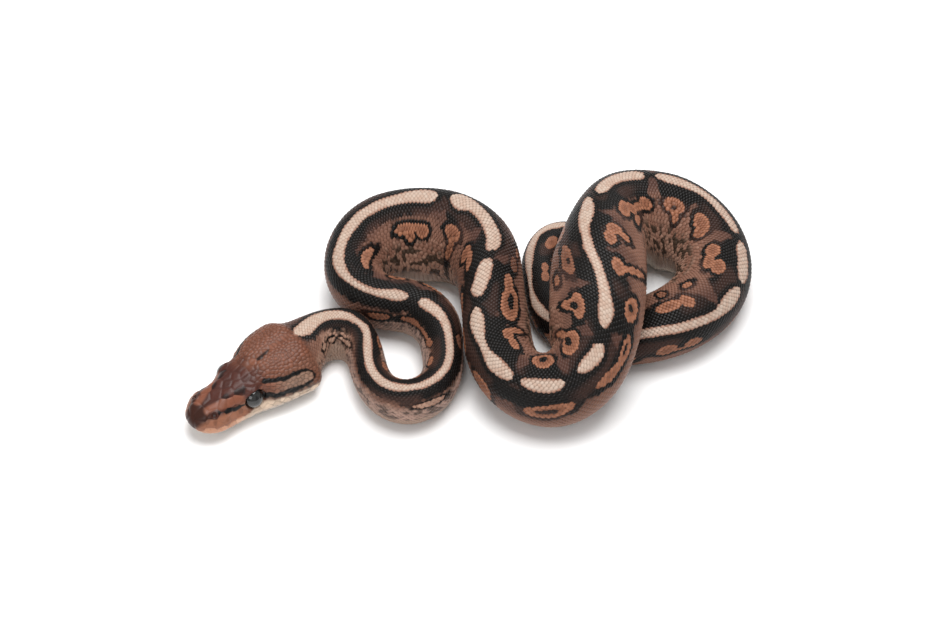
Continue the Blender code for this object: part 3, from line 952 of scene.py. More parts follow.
class Markings:
    """The colours of the body's scales, by place and by share of the girth."""

    # Place, and how much sooner the front of the body pales toward its belly.
    PALE_FRONT = ((0.0, 0.12), (4.0, 0.24), (44.0, 0.26), (66.0, 0.22), (84.0, 0.0))

    # Place, and how far the black reaches beside the stripe.
    BLACK_REACH = ((-3.0, 0.6), (2.0, 0.9), (7.0, 2.0), (16.0, 1.9), (30.0, 2.0), (44.0, 2.3), (51.0, 3.2),
                   (62.0, 3.3), (72.0, 2.5), (96.0, 2.6), (120.0, 2.8), (130.0, 4.6), (200.0, 4.6),
                   (206.0, 4.4), (262.0, 4.6), (300.0, 4.2), (312.0, 2.0), (343.0, 0.6))

    # Where the flank's brown rises toward the stripe: place, side (1 for the left flank), how far.
    FINGERS = ((119.0, -1, 2.4), (129.5, -1, 3.4), (150.0, -1, 2.0), (172.0, -1, 3.0), (190.0, -1, 2.4),
               (200.5, -1, 3.6), (217.8, -1, 4.2), (227.0, -1, 2.4), (235.8, -1, 3.8), (249.5, -1, 4.4),
               (127.5, 1, 3.4), (141.5, 1, 2.6), (154.6, 1, 3.6), (163.0, 1, 3.2), (170.0, 1, 3.0),
               (180.0, 1, 3.6))
    FINGER_WIDTH = 1.3

    # Down the flank, from 0 on the back to 1 under the belly: where each tone comes in, and where the
    # flecks and the blotches' black rims end.
    BROWN = (0.14, 0.42)
    SAND = (0.46, 0.66)
    BLOOM = (0.48, 0.60)
    BLUSH = (0.32, 0.52)
    FLECKS = (0.46, 0.54)
    FLECKS_END = (0.78, 0.84)
    BELLY = (0.72, 0.84)
    CHIN = (0.84, 0.96)
    HALO_END = (0.66, 0.82)

    # Where along the body the pale forebody ends, and where the blush on the right flank starts and ends.
    FORE_END = (64.0, 84.0)
    BLUSH_START = (130.0, 142.0)
    BLUSH_END = (168.0, 182.0)

    # The girths at which the black rims and the hidden flanks' marks have their full size.
    FULL_GIRTH = 50.0
    HIDDEN_GIRTH = 54.0

    def __init__(self, hide: Hide, palette: Palette) -> None:
        """Keep the surface and draw the hidden flanks' marks.

        Args:
            hide: The coat's surface.
            palette: The animal's tones.
        """
        self.hide = hide
        self.tones = palette.linear()
        self.fine = Grain(11)
        self.coarse = Grain(12)
        self.blotches = list(BLOTCHES)
        chance = np.random.default_rng(21)
        for run in HIDDEN_RUNS:
            self.blotches += self.hidden_marks(run, chance)

    def hidden_marks(self, run: HiddenRun, chance: np.random.Generator) -> list:
        """Draw the marks of a run of flank that is out of sight.

        Args:
            run: The run.
            chance: The seeded source of random numbers.

        Returns:
            Its blotches.
        """
        marks = []
        count = max(1, round((run.last - run.first) / run.spacing))
        for i in range(count):
            place = run.first + (i + 0.5) * (run.last - run.first) / count
            place += chance.uniform(-0.6, 0.6)
            size = float(self.hide.girth(place)) / self.HIDDEN_GIRTH
            side = run.flank.value
            offset = side * chance.uniform(7.2, 9.0) * size
            length = chance.uniform(2.2, 3.1) * size
            width = chance.uniform(1.4, 2.0) * size
            lobes = [Lobe(place, offset, length, width, chance.uniform(-20, 20))]
            lean = chance.uniform(-1.2, 1.2) * size
            lobes.append(Lobe(place + lean, offset + side * 2.2 * size, width * 0.8, width * 1.1))
            core = (Lobe(place, offset, length * 0.34, width * 0.36),) if i % 2 else ()
            marks.append(Blotch(tuple(lobes), core))
        return marks

    def stripe_distance(self, place: np.ndarray, offset: np.ndarray) -> np.ndarray:
        """Measure about how far places lie outside the stripe.

        Args:
            place: Distances along the body.
            offset: Distances round from the back's middle.

        Returns:
            Millimetres, below 0 on the stripe.
        """
        nearest = np.full(place.shape, 1e3)
        for run in STRIPE:
            at, left, right = np.array(run).T
            half = (left - right) / 2
            centre = np.interp(place, at, (left + right) / 2)
            wide = np.interp(place, at, half)
            first = place - at[0]
            last = at[-1] - place
            side = np.abs(offset - centre) - wide
            # Near a run's end the side draws in as a quarter circle.
            ease = np.minimum(first / max(half[0], 0.4), last / max(half[-1], 0.4))
            inward = np.clip(1.0 - ease, 0.0, 1.0)
            side = side + wide * (1.0 - np.sqrt(1.0 - inward ** 2)) * 0.8
            beyond = np.maximum(-np.minimum(first, last), 0.0)
            gap = np.where(beyond > 0.0, np.hypot(beyond, np.maximum(side, 0.0)), side)
            nearest = np.minimum(nearest, gap)
        return nearest

    def blotch_fields(self, place: np.ndarray, offset: np.ndarray) -> tuple:
        """Measure about how far places lie outside the blotches.

        Args:
            place: Distances along the body.
            offset: Distances round from the back's middle.

        Returns:
            Millimetres outside the blotches and outside their cores, and the nearest one's dullness.
        """
        outside = np.full(place.shape, 1e3)
        core = np.full(place.shape, 1e3)
        dull = np.zeros(place.shape)
        for blotch in self.blotches:
            gap = np.full(place.shape, 1e3)
            for lobe in blotch.lobes:
                gap = np.minimum(gap, lobe.distance(place, offset))
            for lobe in blotch.cores:
                core = np.minimum(core, lobe.distance(place, offset))
            dull = np.where(gap < outside, blotch.dull, dull)
            outside = np.minimum(outside, gap)
        return outside, core, dull

    def ground(self, place: np.ndarray, offset: np.ndarray, down: np.ndarray,
               soft: np.ndarray) -> np.ndarray:
        """Colour the flanks and the belly between the marks.

        Args:
            place: Distances along the body.
            offset: Distances round from the back's middle.
            down: How far down the flank each lies, from 0 to 1.
            soft: Coarse noise at the places.

        Returns:
            Linear colours.
        """
        tone = self.tones
        sooner = read_table(place, self.PALE_FRONT)
        low = down + sooner
        fleck = self.fine.read(place / 1.4, offset / 1.05 + 17.0)
        dots = self.fine.read(place / 0.62, offset / 0.55 + 90.0)
        front = 1.0 - smooth(place, *self.FORE_END)
        blush = smooth(place, *self.BLUSH_START) * (1.0 - smooth(place, *self.BLUSH_END)) * (offset < 0.0)
        zone = smooth(low, *self.FLECKS) * (1.0 - smooth(low, *self.FLECKS_END))
        brown = smooth(low - sooner * 0.6 + (soft - 0.5) * 0.16, *self.BROWN)
        colour = blend(tone["umber"], tone["flank"], brown)
        colour = blend(colour, tone["sand"], smooth(low + (fleck - 0.5) * 0.24, *self.SAND))
        bloom = blend(tone["sand"], tone["mist"], smooth(place, 12.0, 20.0))
        colour = blend(colour, bloom, smooth(low, *self.BLOOM) * front)
        colour = blend(colour, tone["mist"], smooth(low, *self.BLUSH) * blush * 0.6)
        colour = blend(colour, tone["soot"], smooth(dots, 0.54, 0.66) * smooth(low, 0.5, 0.6) * front * 0.7)
        colour = blend(colour, tone["olive"], (0.9 - front * 0.68) * smooth(fleck, 0.50, 0.57) * zone)
        colour = blend(colour, tone["belly"], smooth(low + (soft - 0.5) * 0.06, *self.BELLY))
        return blend(colour, tone["chin"], smooth(down, *self.CHIN))

    def body(self, place: np.ndarray, share: np.ndarray, jitter: np.ndarray) -> np.ndarray:
        """Colour the body.

        Args:
            place: Distances along the body.
            share: Shares of the girth, from minus a half to a half.
            jitter: A random number from 0 to 1 for each place.

        Returns:
            Linear colours, one row for each place.
        """
        tone = self.tones
        girth = self.hide.girth(place)
        offset = share * girth
        down = np.abs(share) * 2.0
        size = np.clip(girth / self.FULL_GIRTH, 0.35, 1.05)
        soft = self.coarse.read(place / 3.1, offset / 2.3 + 40.0)
        stripe = self.stripe_distance(place, offset)
        blotch, core, dull = self.blotch_fields(place, offset)
        # The black beside the stripe and round the blotches.
        reach = read_table(place, self.BLACK_REACH) + (soft - 0.5) * 1.2 * size
        for at, flank, fall in self.FINGERS:
            finger = np.exp(-((place - at) / self.FINGER_WIDTH) ** 2)
            reach = reach - fall * finger * (offset * flank > 0.0)
        near_stripe = 1.0 - smooth(stripe + (jitter - 0.5) * 0.7, reach, reach + 1.2)
        halo = (0.75 + (soft - 0.5) * 0.4) * size * (0.4 + 0.6 * smooth(place, 16.0, 90.0))
        near_blotch = 1.0 - smooth(blotch + (jitter - 0.5) * 0.5, halo, halo + 0.5)
        near_blotch *= 1.0 - smooth(down, *self.HALO_END)
        cloud = smooth(self.coarse.read(place / 5.0 + 70.0, offset / 3.4 + 90.0), 0.52, 0.80)
        black = blend(tone["black"], tone["soot"], jitter * 0.5)
        black = blend(black, tone["umber"], cloud * smooth(stripe, 0.6, 1.8) * 0.42)
        colour = self.ground(place, offset, down, soft)
        colour = blend(colour, black, np.maximum(near_stripe, near_blotch))
        # The blotches: darker inward, dulled toward the flank's brown or paled, with a rusty rim.
        mark = blend(tone["blotch"], tone["blotch_core"], smooth(-blotch, 0.35, 1.1) * 0.7)
        mark = blend(mark, tone["umber"], np.clip(dull, 0.0, 1.0) * 0.75)
        mark = blend(mark, tone["stripe_blush"], np.clip(-dull, 0.0, 1.0))
        mark = mark * (0.88 + 0.24 * jitter)[..., None]
        mark = blend(mark, tone["rust"], smooth(blotch, -0.25, 0.0) * 0.35)
        mark = np.where((core < 0.0)[..., None], black, mark)
        colour = np.where((blotch < 0.0)[..., None], mark, colour)
        pale = blend(tone["stripe"], tone["stripe_blush"], jitter * 0.9)
        pale = blend(pale, tone["rust"], smooth(stripe, -0.6, 0.0) * 0.75)
        return np.where((stripe < 0.0)[..., None], pale, colour)


class HeadMarkings:
    """The colours of the head's shields, by forward distance and offset."""

    # The lines and marks of the head: forward of the nape, distance round from the crown.
    UPPER_LINE = ((14.6, 5.0), (12.6, 6.5), (11.0, 7.4), (9.0, 8.0), (7.0, 8.3), (5.6, 8.8), (4.6, 9.6),
                  (4.2, 10.8))
    LOWER_LINE = ((16.0, 8.3), (13.8, 9.5), (12.0, 10.6), (10.0, 11.2), (7.5, 11.7), (5.4, 11.7),
                  (4.3, 11.1))
    TEMPLE_MIDDLE = ((15.0, 6.5), (12.8, 7.9), (10.6, 9.1), (8.0, 9.9), (6.0, 10.2))
    CANTHAL_LINE = ((20.2, 6.4), (22.2, 5.8), (24.0, 4.8), (26.2, 3.6))
    CANTHUS = ((20.4, 4.7), (22.6, 3.7), (24.6, 2.7), (26.4, 2.0), (27.8, 1.6))
    JAW_SHADE = ((14.0, 10.3), (12.0, 11.6), (9.6, 12.5), (6.0, 12.8))
    CROWN_MARK = ((9.6, -0.1), (11.4, -0.3), (12.8, -0.5))
    BROW_SPOTS = ((22.9, 1.9), (20.4, 3.0), (19.2, 3.4))
    # Where the upper lip turns pale.
    LIP_EDGE = ((4.0, 13.4), (8.0, 13.0), (10.5, 12.5), (13.0, 11.3), (15.0, 10.3), (17.0, 9.6), (18.6, 9.1),
                (20.0, 9.4), (22.0, 9.1), (25.0, 8.2), (28.0, 6.6), (30.0, 4.7), (31.1, 4.0))
    # The black lines, each with its half width.
    LINES = ((UPPER_LINE, 0.46), (LOWER_LINE, 0.5), (CANTHAL_LINE, 0.34))

    def __init__(self, palette: Palette) -> None:
        """Keep the tones and the noise."""
        self.tones = palette.linear()
        self.coarse, self.fine = Grain(31), Grain(32)

    def read(self, forward: np.ndarray, offset: np.ndarray, jitter: np.ndarray) -> np.ndarray:
        """Colour the head.

        Args:
            forward: Distances forward of the nape.
            offset: Distances round from the crown's middle line.
            jitter: A random number from 0 to 1 for each place.

        Returns:
            Linear colours, one row for each place.
        """
        black = self.tones["black"]
        side = np.abs(offset)
        fleck = self.fine.read(forward / 0.9 + 9.0, offset / 0.9 + 50.0)
        colour = self.ground(forward, offset, fleck)
        for line, half in self.LINES:
            gap = line_distance(forward, side, line) + (fleck - 0.5) * 0.25
            gap = gap + 0.22 * (1.0 - smooth(forward, 4.5, 8.5))
            colour = blend(colour, black, 1.0 - smooth(gap, half - 0.1, half + 0.16))
        spot = line_distance(forward, offset, self.CROWN_MARK) + (fleck - 0.5) * 0.3
        colour = blend(colour, black, (1.0 - smooth(spot, 0.22, 0.5)) * 0.9)
        for at, away in self.BROW_SPOTS:
            patch = np.hypot((forward - at) / 1.5, side - away)
            colour = blend(colour, black, (1.0 - smooth(patch, 0.3, 0.7)) * 0.75)
        return colour * (0.86 + 0.28 * jitter)[..., None]

    def ground(self, forward: np.ndarray, offset: np.ndarray, fleck: np.ndarray) -> np.ndarray:
        """Colour the head under its black lines.

        Args:
            forward: Distances forward of the nape.
            offset: Distances round from the crown's middle line.
            fleck: Fine noise at the places.

        Returns:
            Linear colours, one row for each place.
        """
        tone = self.tones
        side = np.abs(offset)
        soft = self.coarse.read(forward / 2.4 + 5.0, offset / 2.0 + 30.0)
        front = smooth(forward + (soft - 0.5) * 3.0, 13.0, 17.5)
        colour = blend(tone["crown"], tone["maroon"], front)
        colour = blend(colour, tone["snout"], smooth(forward, 25.0, 28.5))
        colour = blend(colour, tone["flank"], (1.0 - front) * smooth(side, 5.0, 8.0) * 0.5)
        # The side of the snout, over the lip.
        lip = read_table(forward, self.LIP_EDGE)
        labial = smooth(side - lip * 0.62, -0.6, 0.3) * smooth(forward, 18.0, 20.5)
        colour = blend(colour, tone["labial"], labial)
        colour = blend(colour, tone["snout"], labial * smooth(fleck, 0.5, 0.8) * (side < lip - 1.6) * 0.35)
        canthus = 1.0 - smooth(line_distance(forward, side, self.CANTHUS), 0.55, 1.1)
        colour = blend(colour, tone["canthus"], canthus)
        # The pale band behind the eye, and the mottled shade under it.
        temple = 1.0 - smooth(line_distance(forward, side, self.TEMPLE_MIDDLE), 1.0, 1.6)
        rear = 1.0 - smooth(forward, 9.0, 15.5)
        colour = blend(colour, blend(tone["canthus"], tone["temple"], rear), temple)
        jaw = 1.0 - smooth(line_distance(forward, side, self.JAW_SHADE), 0.9, 1.5)
        colour = blend(colour, blend(tone["soot"], tone["sand"], fleck * 0.7), jaw * 0.9)
        # The pale lips and chin.
        ahead = smooth(forward, 19.0, 25.0)
        below = smooth(side + ahead * 0.5, lip - 0.5, lip + 0.1)
        colour = blend(colour, blend(tone["lip"], tone["peach"], ahead), below)
        return blend(colour, tone["chin"], smooth(side, lip + 0.8, lip + 2.2))


def new_mesh(name: str, points: np.ndarray, faces: np.ndarray, tones: np.ndarray,
             bake: np.ndarray | None = None) -> bpy.types.Object:
    """Make a smooth mesh object from arrays.

    Args:
        name: The piece's name.
        points: Points in the route's frame, in millimetres.
        faces: Corner numbers, one row for each face; a three-sided face repeats its last.
        tones: A linear colour for each point.
        bake: A place on the unwrap for each point, if the piece has one.

    Returns:
        The object, linked to the scene.
    """
    mesh = bpy.data.meshes.new(name)
    mesh.vertices.add(len(points))
    mesh.vertices.foreach_set("co", ((points - FLOOR_CENTRE) * MM).astype(np.float32).ravel())
    triangle = faces[:, 3] == faces[:, 2]
    counts = np.where(triangle, 3, 4)
    keep = np.ones(faces.shape, bool)
    keep[triangle, 3] = False
    corners = faces[keep]
    mesh.loops.add(len(corners))
    mesh.loops.foreach_set("vertex_index", corners.astype(np.int32))
    mesh.polygons.add(len(faces))
    starts = np.concatenate(([0], np.cumsum(counts)[:-1]))
    mesh.polygons.foreach_set("loop_start", starts.astype(np.int32))
    mesh.update(calc_edges=True)
    layer = mesh.color_attributes.new("tone", "FLOAT_COLOR", "POINT")
    full = np.concatenate([tones, np.ones((len(tones), 1))], axis=1)
    layer.data.foreach_set("color", full.astype(np.float32).ravel())
    if bake is not None:
        unwrap = mesh.uv_layers.new(name="OFBake")
        unwrap.data.foreach_set("uv", bake[corners].astype(np.float32).ravel())
    mesh.validate()
    mesh.shade_smooth()
    piece = bpy.data.objects.new(name, mesh)
    bpy.context.scene.collection.objects.link(piece)
    return piece


def ring_faces(first: int, rings: int, sides: int) -> np.ndarray:
    """Return the faces between closed rings of points.

    Args:
        first: The number of the first point.
        rings: How many rings there are.
        sides: How many points each has.

    Returns:
        Corner numbers, one row for each face.
    """
    i, j = np.meshgrid(np.arange(rings - 1), np.arange(sides), indexing="ij")
    k = (j + 1) % sides
    corners = (i * sides + j, i * sides + k, (i + 1) * sides + k, (i + 1) * sides + j)
    return np.stack([corner.ravel() for corner in corners], axis=1) + first


def fan_faces(tip: int, first: np.ndarray, second: np.ndarray) -> np.ndarray:
    """Return the faces that join one point to a ring's edges, given by their first and second points."""
    return np.stack([np.full(len(first), tip), first, second, second], axis=1)


def outward(points: np.ndarray, faces: np.ndarray) -> np.ndarray:
    """Turn the faces so that a closed mesh holds a positive volume.

    Args:
        points: The mesh's points.
        faces: Corner numbers, one row for each face.

    Returns:
        The faces, turned over if they have to be.
    """
    a, b, c = (points[faces[:, k]] for k in range(3))
    volume = np.sum(np.cross(a, b) * c)
    return faces if volume > 0.0 else faces[:, [1, 0, 3, 2]]


class Shading:
    """A material under way, whose nodes are added and linked by name."""

    def __init__(self, name: str) -> None:
        """Start a Principled material.

        Args:
            name: The material's name.
        """
        self.material = bpy.data.materials.new(name)
        self.material.use_nodes = True
        self.shader = self.material.node_tree.nodes["Principled BSDF"]

    def feed(self, node: bpy.types.Node, inputs: dict) -> None:
        """Set or link a node's inputs.

        Args:
            node: The node.
            inputs: For an input's name or number, the value to set or the socket to link.
        """
        for name, value in inputs.items():
            if isinstance(value, bpy.types.NodeSocket):
                self.material.node_tree.links.new(value, node.inputs[name])
            else:
                node.inputs[name].default_value = value

    def add(self, kind: str, inputs: dict) -> bpy.types.Node:
        """Add a node.

        Args:
            kind: Its kind, without the word that every shader node's kind starts with.
            inputs: Its inputs, as for feed.

        Returns:
            The node.
        """
        node = self.material.node_tree.nodes.new("ShaderNode" + kind)
        self.feed(node, inputs)
        return node

    def attribute(self, name: str) -> bpy.types.Node:
        """Add a node that reads what is stored on the mesh.

        Args:
            name: The name that it is stored under.

        Returns:
            The node.
        """
        node = self.add("Attribute", {})
        node.attribute_name = name
        return node

    def maths(self, operation: str, first: object, second: object = 0.0) -> bpy.types.NodeSocket:
        """Add one sum.

        Args:
            operation: What is done.
            first: A number or a socket.
            second: Another, where the operation takes two.

        Returns:
            The socket that gives the result.
        """
        node = self.add("Math", {0: first, 1: second})
        node.operation = operation
        return node.outputs[0]

    def square_sum(self, first: bpy.types.NodeSocket, second: bpy.types.NodeSocket) -> bpy.types.NodeSocket:
        """Add the sum of the squares of two sockets."""
        squares = [self.maths("MULTIPLY", part, part) for part in (first, second)]
        return self.maths("ADD", *squares)

    def ramp(self, value: bpy.types.NodeSocket, stops: tuple) -> bpy.types.NodeSocket:
        """Add a ramp of colours.

        Args:
            value: The socket that it reads.
            stops: Two stops or more, each a position and a linear colour.

        Returns:
            The socket that gives the colour.
        """
        node = self.add("ValToRGB", {"Fac": value})
        elements = node.color_ramp.elements
        for number, (position, colour) in enumerate(stops):
            stop = elements[number] if number < len(elements) else elements.new(position)
            stop.position = position
            stop.color = (*colour, 1.0)
        return node.outputs["Color"]


@dataclass(frozen=True)
class CoatFinish:
    """The finish of scales: a tone with grain, gloss and a fine bump."""

    name: str
    roughness: float
    grain: float = 0.10
    bump: float = 0.12
    specular: float = 0.5
    grain_size: float = 2600.0
    grain_detail: float = 3.0
    # How much smoother and how much rougher the grain makes it, and how high the grain stands in metres.
    smoother: float = 0.07
    rougher: float = 0.09
    grain_height: float = 0.00004

    def material(self) -> bpy.types.Material:
        """Build the material.

        Returns:
            A Principled material that reads the tone attribute.
        """
        shading = Shading(self.name)
        tone = shading.attribute("tone")
        place = shading.add("TexCoord", {})
        noise = shading.add("TexNoise", {"Vector": place.outputs["Object"], "Scale": self.grain_size,
                                         "Detail": self.grain_detail})
        grain = noise.outputs["Fac"]
        light = shading.add("MapRange", {"Value": grain, "To Min": 1.0 - self.grain,
                                         "To Max": 1.0 + self.grain})
        gloss = shading.add("MapRange", {"Value": grain, "To Min": self.roughness - self.smoother,
                                         "To Max": self.roughness + self.rougher})
        bump = shading.add("Bump", {"Height": grain, "Strength": self.bump, "Distance": self.grain_height})
        tint = shading.add("VectorMath", {})
        tint.operation = "SCALE"
        shading.feed(tint, {0: tone.outputs["Color"], "Scale": light.outputs["Result"]})
        shading.feed(shading.shader, {
            "Base Color": tint.outputs["Vector"], "Roughness": gloss.outputs["Result"],
            "Specular IOR Level": self.specular, "Normal": bump.outputs["Normal"]})
        return shading.material


@dataclass
class Skin:
    """The one closed skin under the coat, from snout to tip of tail."""

    hide: Hide
    markings: Markings
    head_markings: HeadMarkings
    sides: int = 84
    step: float = 0.9
    head_rings: int = 46
    # How far before the route's end the last ring lies, and how far the snout's tip stands out.
    tail_gap: float = 0.4
    tip_reach: float = 0.05
    # How bright the skin is against the coat: painted shade, as the skin shows only in the gaps under the
    # scales.
    dim: float = 0.55

    def build(self) -> bpy.types.Object:
        """Make the skin's mesh.

        Returns:
            The skin.
        """
        hide = self.hide
        bow = np.linspace(1.0, 0.0, self.head_rings, endpoint=False)[1:]
        ahead = -hide.head.reach * np.sin(bow * math.pi / 2)
        behind = np.arange(0.0, hide.route.length - self.tail_gap, self.step)
        places = np.concatenate([ahead, behind])
        place, share = np.meshgrid(places, np.arange(self.sides) / self.sides, indexing="ij")
        points, normals = hide.read(place, share)
        points = points - normals * hide.skin_depth(places)[:, None, None]
        before, last = points[-2:].mean(axis=1)
        tip = points[0].mean(axis=0) + hide.head.way * self.tip_reach
        tail = last + (last - before) * 0.5
        rows = np.concatenate([points.reshape(-1, 3), [tip, tail]])
        first = np.arange(self.sides)
        second = np.roll(first, -1)
        size = len(places) * self.sides
        rear = size - self.sides
        faces = np.concatenate([
            ring_faces(0, len(places), self.sides),
            fan_faces(size, second, first),
            fan_faces(size + 1, rear + first, rear + second)])
        tones = self.tones(place.ravel(), share.ravel())
        tones = np.concatenate([tones, tones[:1], tones[-1:]])
        # The skin takes the coat's tones darkened by dim: painted shade.
        return new_mesh("skin", rows, outward(rows, faces), tones * self.dim)

    def tones(self, place: np.ndarray, share: np.ndarray) -> np.ndarray:
        """Colour the skin as the coat over it is coloured.

        Args:
            place: Distances along the body.
            share: Shares of the girth, which wrap round.

        Returns:
            Linear colours, one row for each place.
        """
        share = wrapped(share)
        steady = np.full(place.shape, 0.5)
        body = self.markings.body(place, share, steady)
        head = self.head_markings.read(-place, share * self.hide.girth(place), steady)
        return blend(body, head, smooth(-place, *NAPE_CHANGE))


@dataclass
class BodyScales:
    """The small overlapping scales of the back and the flanks."""

    hide: Hide
    markings: Markings
    seed: int = 5
    # Along the back: place, length of a scale.
    pitches: tuple = ((-4.0, 0.86), (40.0, 0.86), (70.0, 0.94), (110.0, 1.02), (254.0, 1.04), (284.0, 0.9),
                      (309.0, 0.74), (329.0, 0.5), (343.0, 0.34))
    # Columns round the body: place from which a count holds, the count.
    columns: tuple = ((-2.4, 45), (65.0, 51), (107.5, 57), (276.8, 49), (294.0, 39), (309.0, 31),
                      (324.0, 23), (335.0, 15))
    widening: float = 0.12
    lift: float = 0.25
    # Where one piece ends and the next begins.
    splits: tuple = (58.0, 110.0, 157.0, 202.0, 246.0, 298.0)
    # The scale's plate: an inner and an outer loop round its middle.
    loop: int = 8
    inner_share: float = 0.52
    # The plate's reach ahead, behind and aside, in shares of a scale.
    front_reach: float = 0.56
    rear_reach: float = 0.66
    side_reach: float = 0.93
    # Heights in shares of the lift: at the front and how much more at the rear, for either loop.
    outer_height: tuple = (0.10, 0.36)
    inner_height: tuple = (0.56, 0.32)
    # The middle point, and how wide and how deep the free edge goes down.
    crest: tuple = (0.04, 0.0, 0.95)
    skirt: tuple = (1.02, -0.15)
    # How much scales differ in lift and in where they point.
    uneven: float = 0.22
    sway: float = 0.10
    # Where scales would be shorter than these shares of their length, each second or fourth one stands.
    crowded: tuple = (0.55, 0.28)
    # How far a scale's colour follows the marks across it, from none to wholly.
    bleed: float = 0.6
    # How much darker the rims are, on pale scales and on dark ones, and what counts as pale.
    # The darker rims are painted shade where the scales lap.
    rim_shades: tuple = (0.30, 0.12)
    pale: float = 0.1

    def plate(self) -> tuple:
        """Lay out one scale.

        Returns:
            Its points as (along, across, height) in shares of a scale, its faces, and how near
            each point is to the rim.
        """
        turn = np.arange(self.loop) * 2.0 * math.pi / self.loop
        along = -np.cos(turn)
        across = np.sin(turn)
        reach = np.where(along > 0.0, self.rear_reach, self.front_reach)
        front, more = self.outer_height
        height = front + more * (along + 1.0) / 2.0
        outer = np.stack([along * reach, across * self.side_reach, height], axis=1)
        inner = outer * self.inner_share
        inner[:, 0] += 0.02
        front, more = self.inner_height
        inner[:, 2] = front + more * (along + 1.0) / 2.0
        wide, low = self.skirt
        skirt = outer * np.array([wide, wide, 0.0])
        skirt[:, 2] = low
        middle = np.array([self.crest])
        points = np.concatenate([middle, inner, outer, skirt])
        rim = np.concatenate([[0.0], np.full(self.loop, 0.15), np.ones(self.loop), np.ones(self.loop)])
        faces = []
        for i in range(self.loop):
            j = (i + 1) % self.loop
            faces.append((0, 1 + j, 1 + i, 1 + i))
            a = 1 + i
            b = 1 + j
            faces.append((a, b, b + self.loop, a + self.loop))
            # Only the free edge stands clear of the scales ahead.
            if along[i] + along[j] > -0.8:
                faces.append((a + self.loop, b + self.loop, b + 2 * self.loop, a + 2 * self.loop))
        return points, np.array(faces), rim

    def row_table(self) -> tuple:
        """Count the rows of scales along the back.

        Returns:
            Matching tables of row numbers, of places, and of a scale's length there.
        """
        places = self.hide.places
        pitch = read_table(places, self.pitches)
        steps = np.diff(self.hide.back_length) / pitch[:-1]
        rows = np.concatenate(([0.0], np.cumsum(steps)))
        rows -= np.interp(self.columns[0][0], places, rows)
        return rows, places, pitch

    def share_of(self, column: np.ndarray, count: np.ndarray) -> np.ndarray:
        """Return the share at which a column lies, counted from the back; near the belly they are wider."""
        part = column / (count / 2.0)
        return BELLY_SHARE * (part * (1.0 - self.widening) + self.widening * part ** 3)

    def lattice(self) -> np.ndarray:
        """Place every scale.

        Returns:
            Four rows of numbers: each scale's row, column, count of columns and level of length.
        """
        rows, places, pitch = self.row_table()
        found = []
        ends = [start for start, _ in self.columns[1:]] + [self.hide.route.length - 1.0]
        for (start, count), end in zip(self.columns, ends):
            low = math.ceil(np.interp(start, places, rows))
            high = math.ceil(np.interp(end, places, rows))
            number = np.arange(low, high)
            half = count // 2
            for column in range(-half, half + 1):
                row = number + 0.5 * (column % 2)
                share = self.share_of(np.array(float(column)), count)
                ahead, _ = self.hide.read(np.interp(row - 0.5, rows, places), share)
                behind, _ = self.hide.read(np.interp(row + 0.5, rows, places), share)
                ratio = np.linalg.norm(behind - ahead, axis=-1) / np.interp(row, rows, pitch)
                level = np.where(ratio > self.crowded[0], 1, np.where(ratio > self.crowded[1], 2, 4))
                shift = (level // 2) * (column % 2)
                keep = (number + shift) % level == 0
                same = np.ones(keep.sum())
                found.append(np.stack([row[keep], column * same, count * same, level[keep]]))
        return np.concatenate(found, axis=1)

    def build(self) -> list:
        """Make the scales, a piece for each length of the body.

        Returns:
            The pieces.
        """
        rows, places, _ = self.row_table()
        row, column, count, level = self.lattice()
        plate, faces, rim = self.plate()
        chance = np.random.default_rng(self.seed)
        jitter = chance.random(len(row))
        raised = 1.0 + (chance.random(len(row)) - 0.5) * self.uneven
        sway = (chance.random(len(row)) - 0.5) * self.sway
        middle = np.interp(row, rows, places)
        middle_share = self.share_of(column, count)
        place = np.interp(row[:, None] + plate[:, 0] * level[:, None], rows, places)
        aside = column[:, None] + plate[:, 1] + sway[:, None] * plate[:, 0]
        share = self.share_of(aside, count[:, None])
        points, normals = self.hide.read(place, share)
        size = self.hide.girth(middle) * BELLY_SHARE * 2.0 / count
        lift = np.minimum(self.lift, size * 0.36) * raised
        height = plate[:, 2] * lift[:, None] - self.hide.skin_depth(middle)[:, None]
        points = points + normals * height[..., None]
        at = part_way(middle[:, None], place, self.bleed)
        round_at = part_way(middle_share[:, None], share, self.bleed)
        colour = self.markings.body(at, round_at, np.broadcast_to(jitter[:, None], at.shape))
        # Painted shade: each scale is darker toward its rim and down its free edge.
        dim = np.where(colour.max(axis=-1) > self.pale, *self.rim_shades) * rim
        tones = colour * (1.0 - dim)[..., None]
        pieces = []
        edges = (-math.inf,) + self.splits + (math.inf,)
        for number, (low, high) in enumerate(zip(edges, edges[1:])):
            pick = np.flatnonzero((middle >= low) & (middle < high))
            base = np.arange(len(pick))[:, None, None] * len(plate)
            bake = self.unwrap(middle[pick], middle_share[pick], plate)
            pieces.append(new_mesh(
                f"scales_{number + 1}", points[pick].reshape(-1, 3), (faces[None] + base).reshape(-1, 4),
                tones[pick].reshape(-1, 3), bake.reshape(-1, 2)))
        return pieces

    @staticmethod
    def unwrap(middle: np.ndarray, share: np.ndarray, plate: np.ndarray) -> np.ndarray:
        """Lay one piece's scales on its unwrap.

        Args:
            middle: The places of the scales' middles.
            share: Their shares of the girth.
            plate: The points of one scale, in shares of a scale.

        Returns:
            Two numbers for each point of each scale.
        """
        first, last = middle.min(), middle.max()
        u = (middle - first) / (last - first) * 0.98 + 0.01
        v = (share + 0.5) * 0.98 + 0.01
        return np.stack([u[:, None] + plate[:, 0] * 0.0022, v[:, None] + plate[:, 1] * 0.0015], axis=-1)


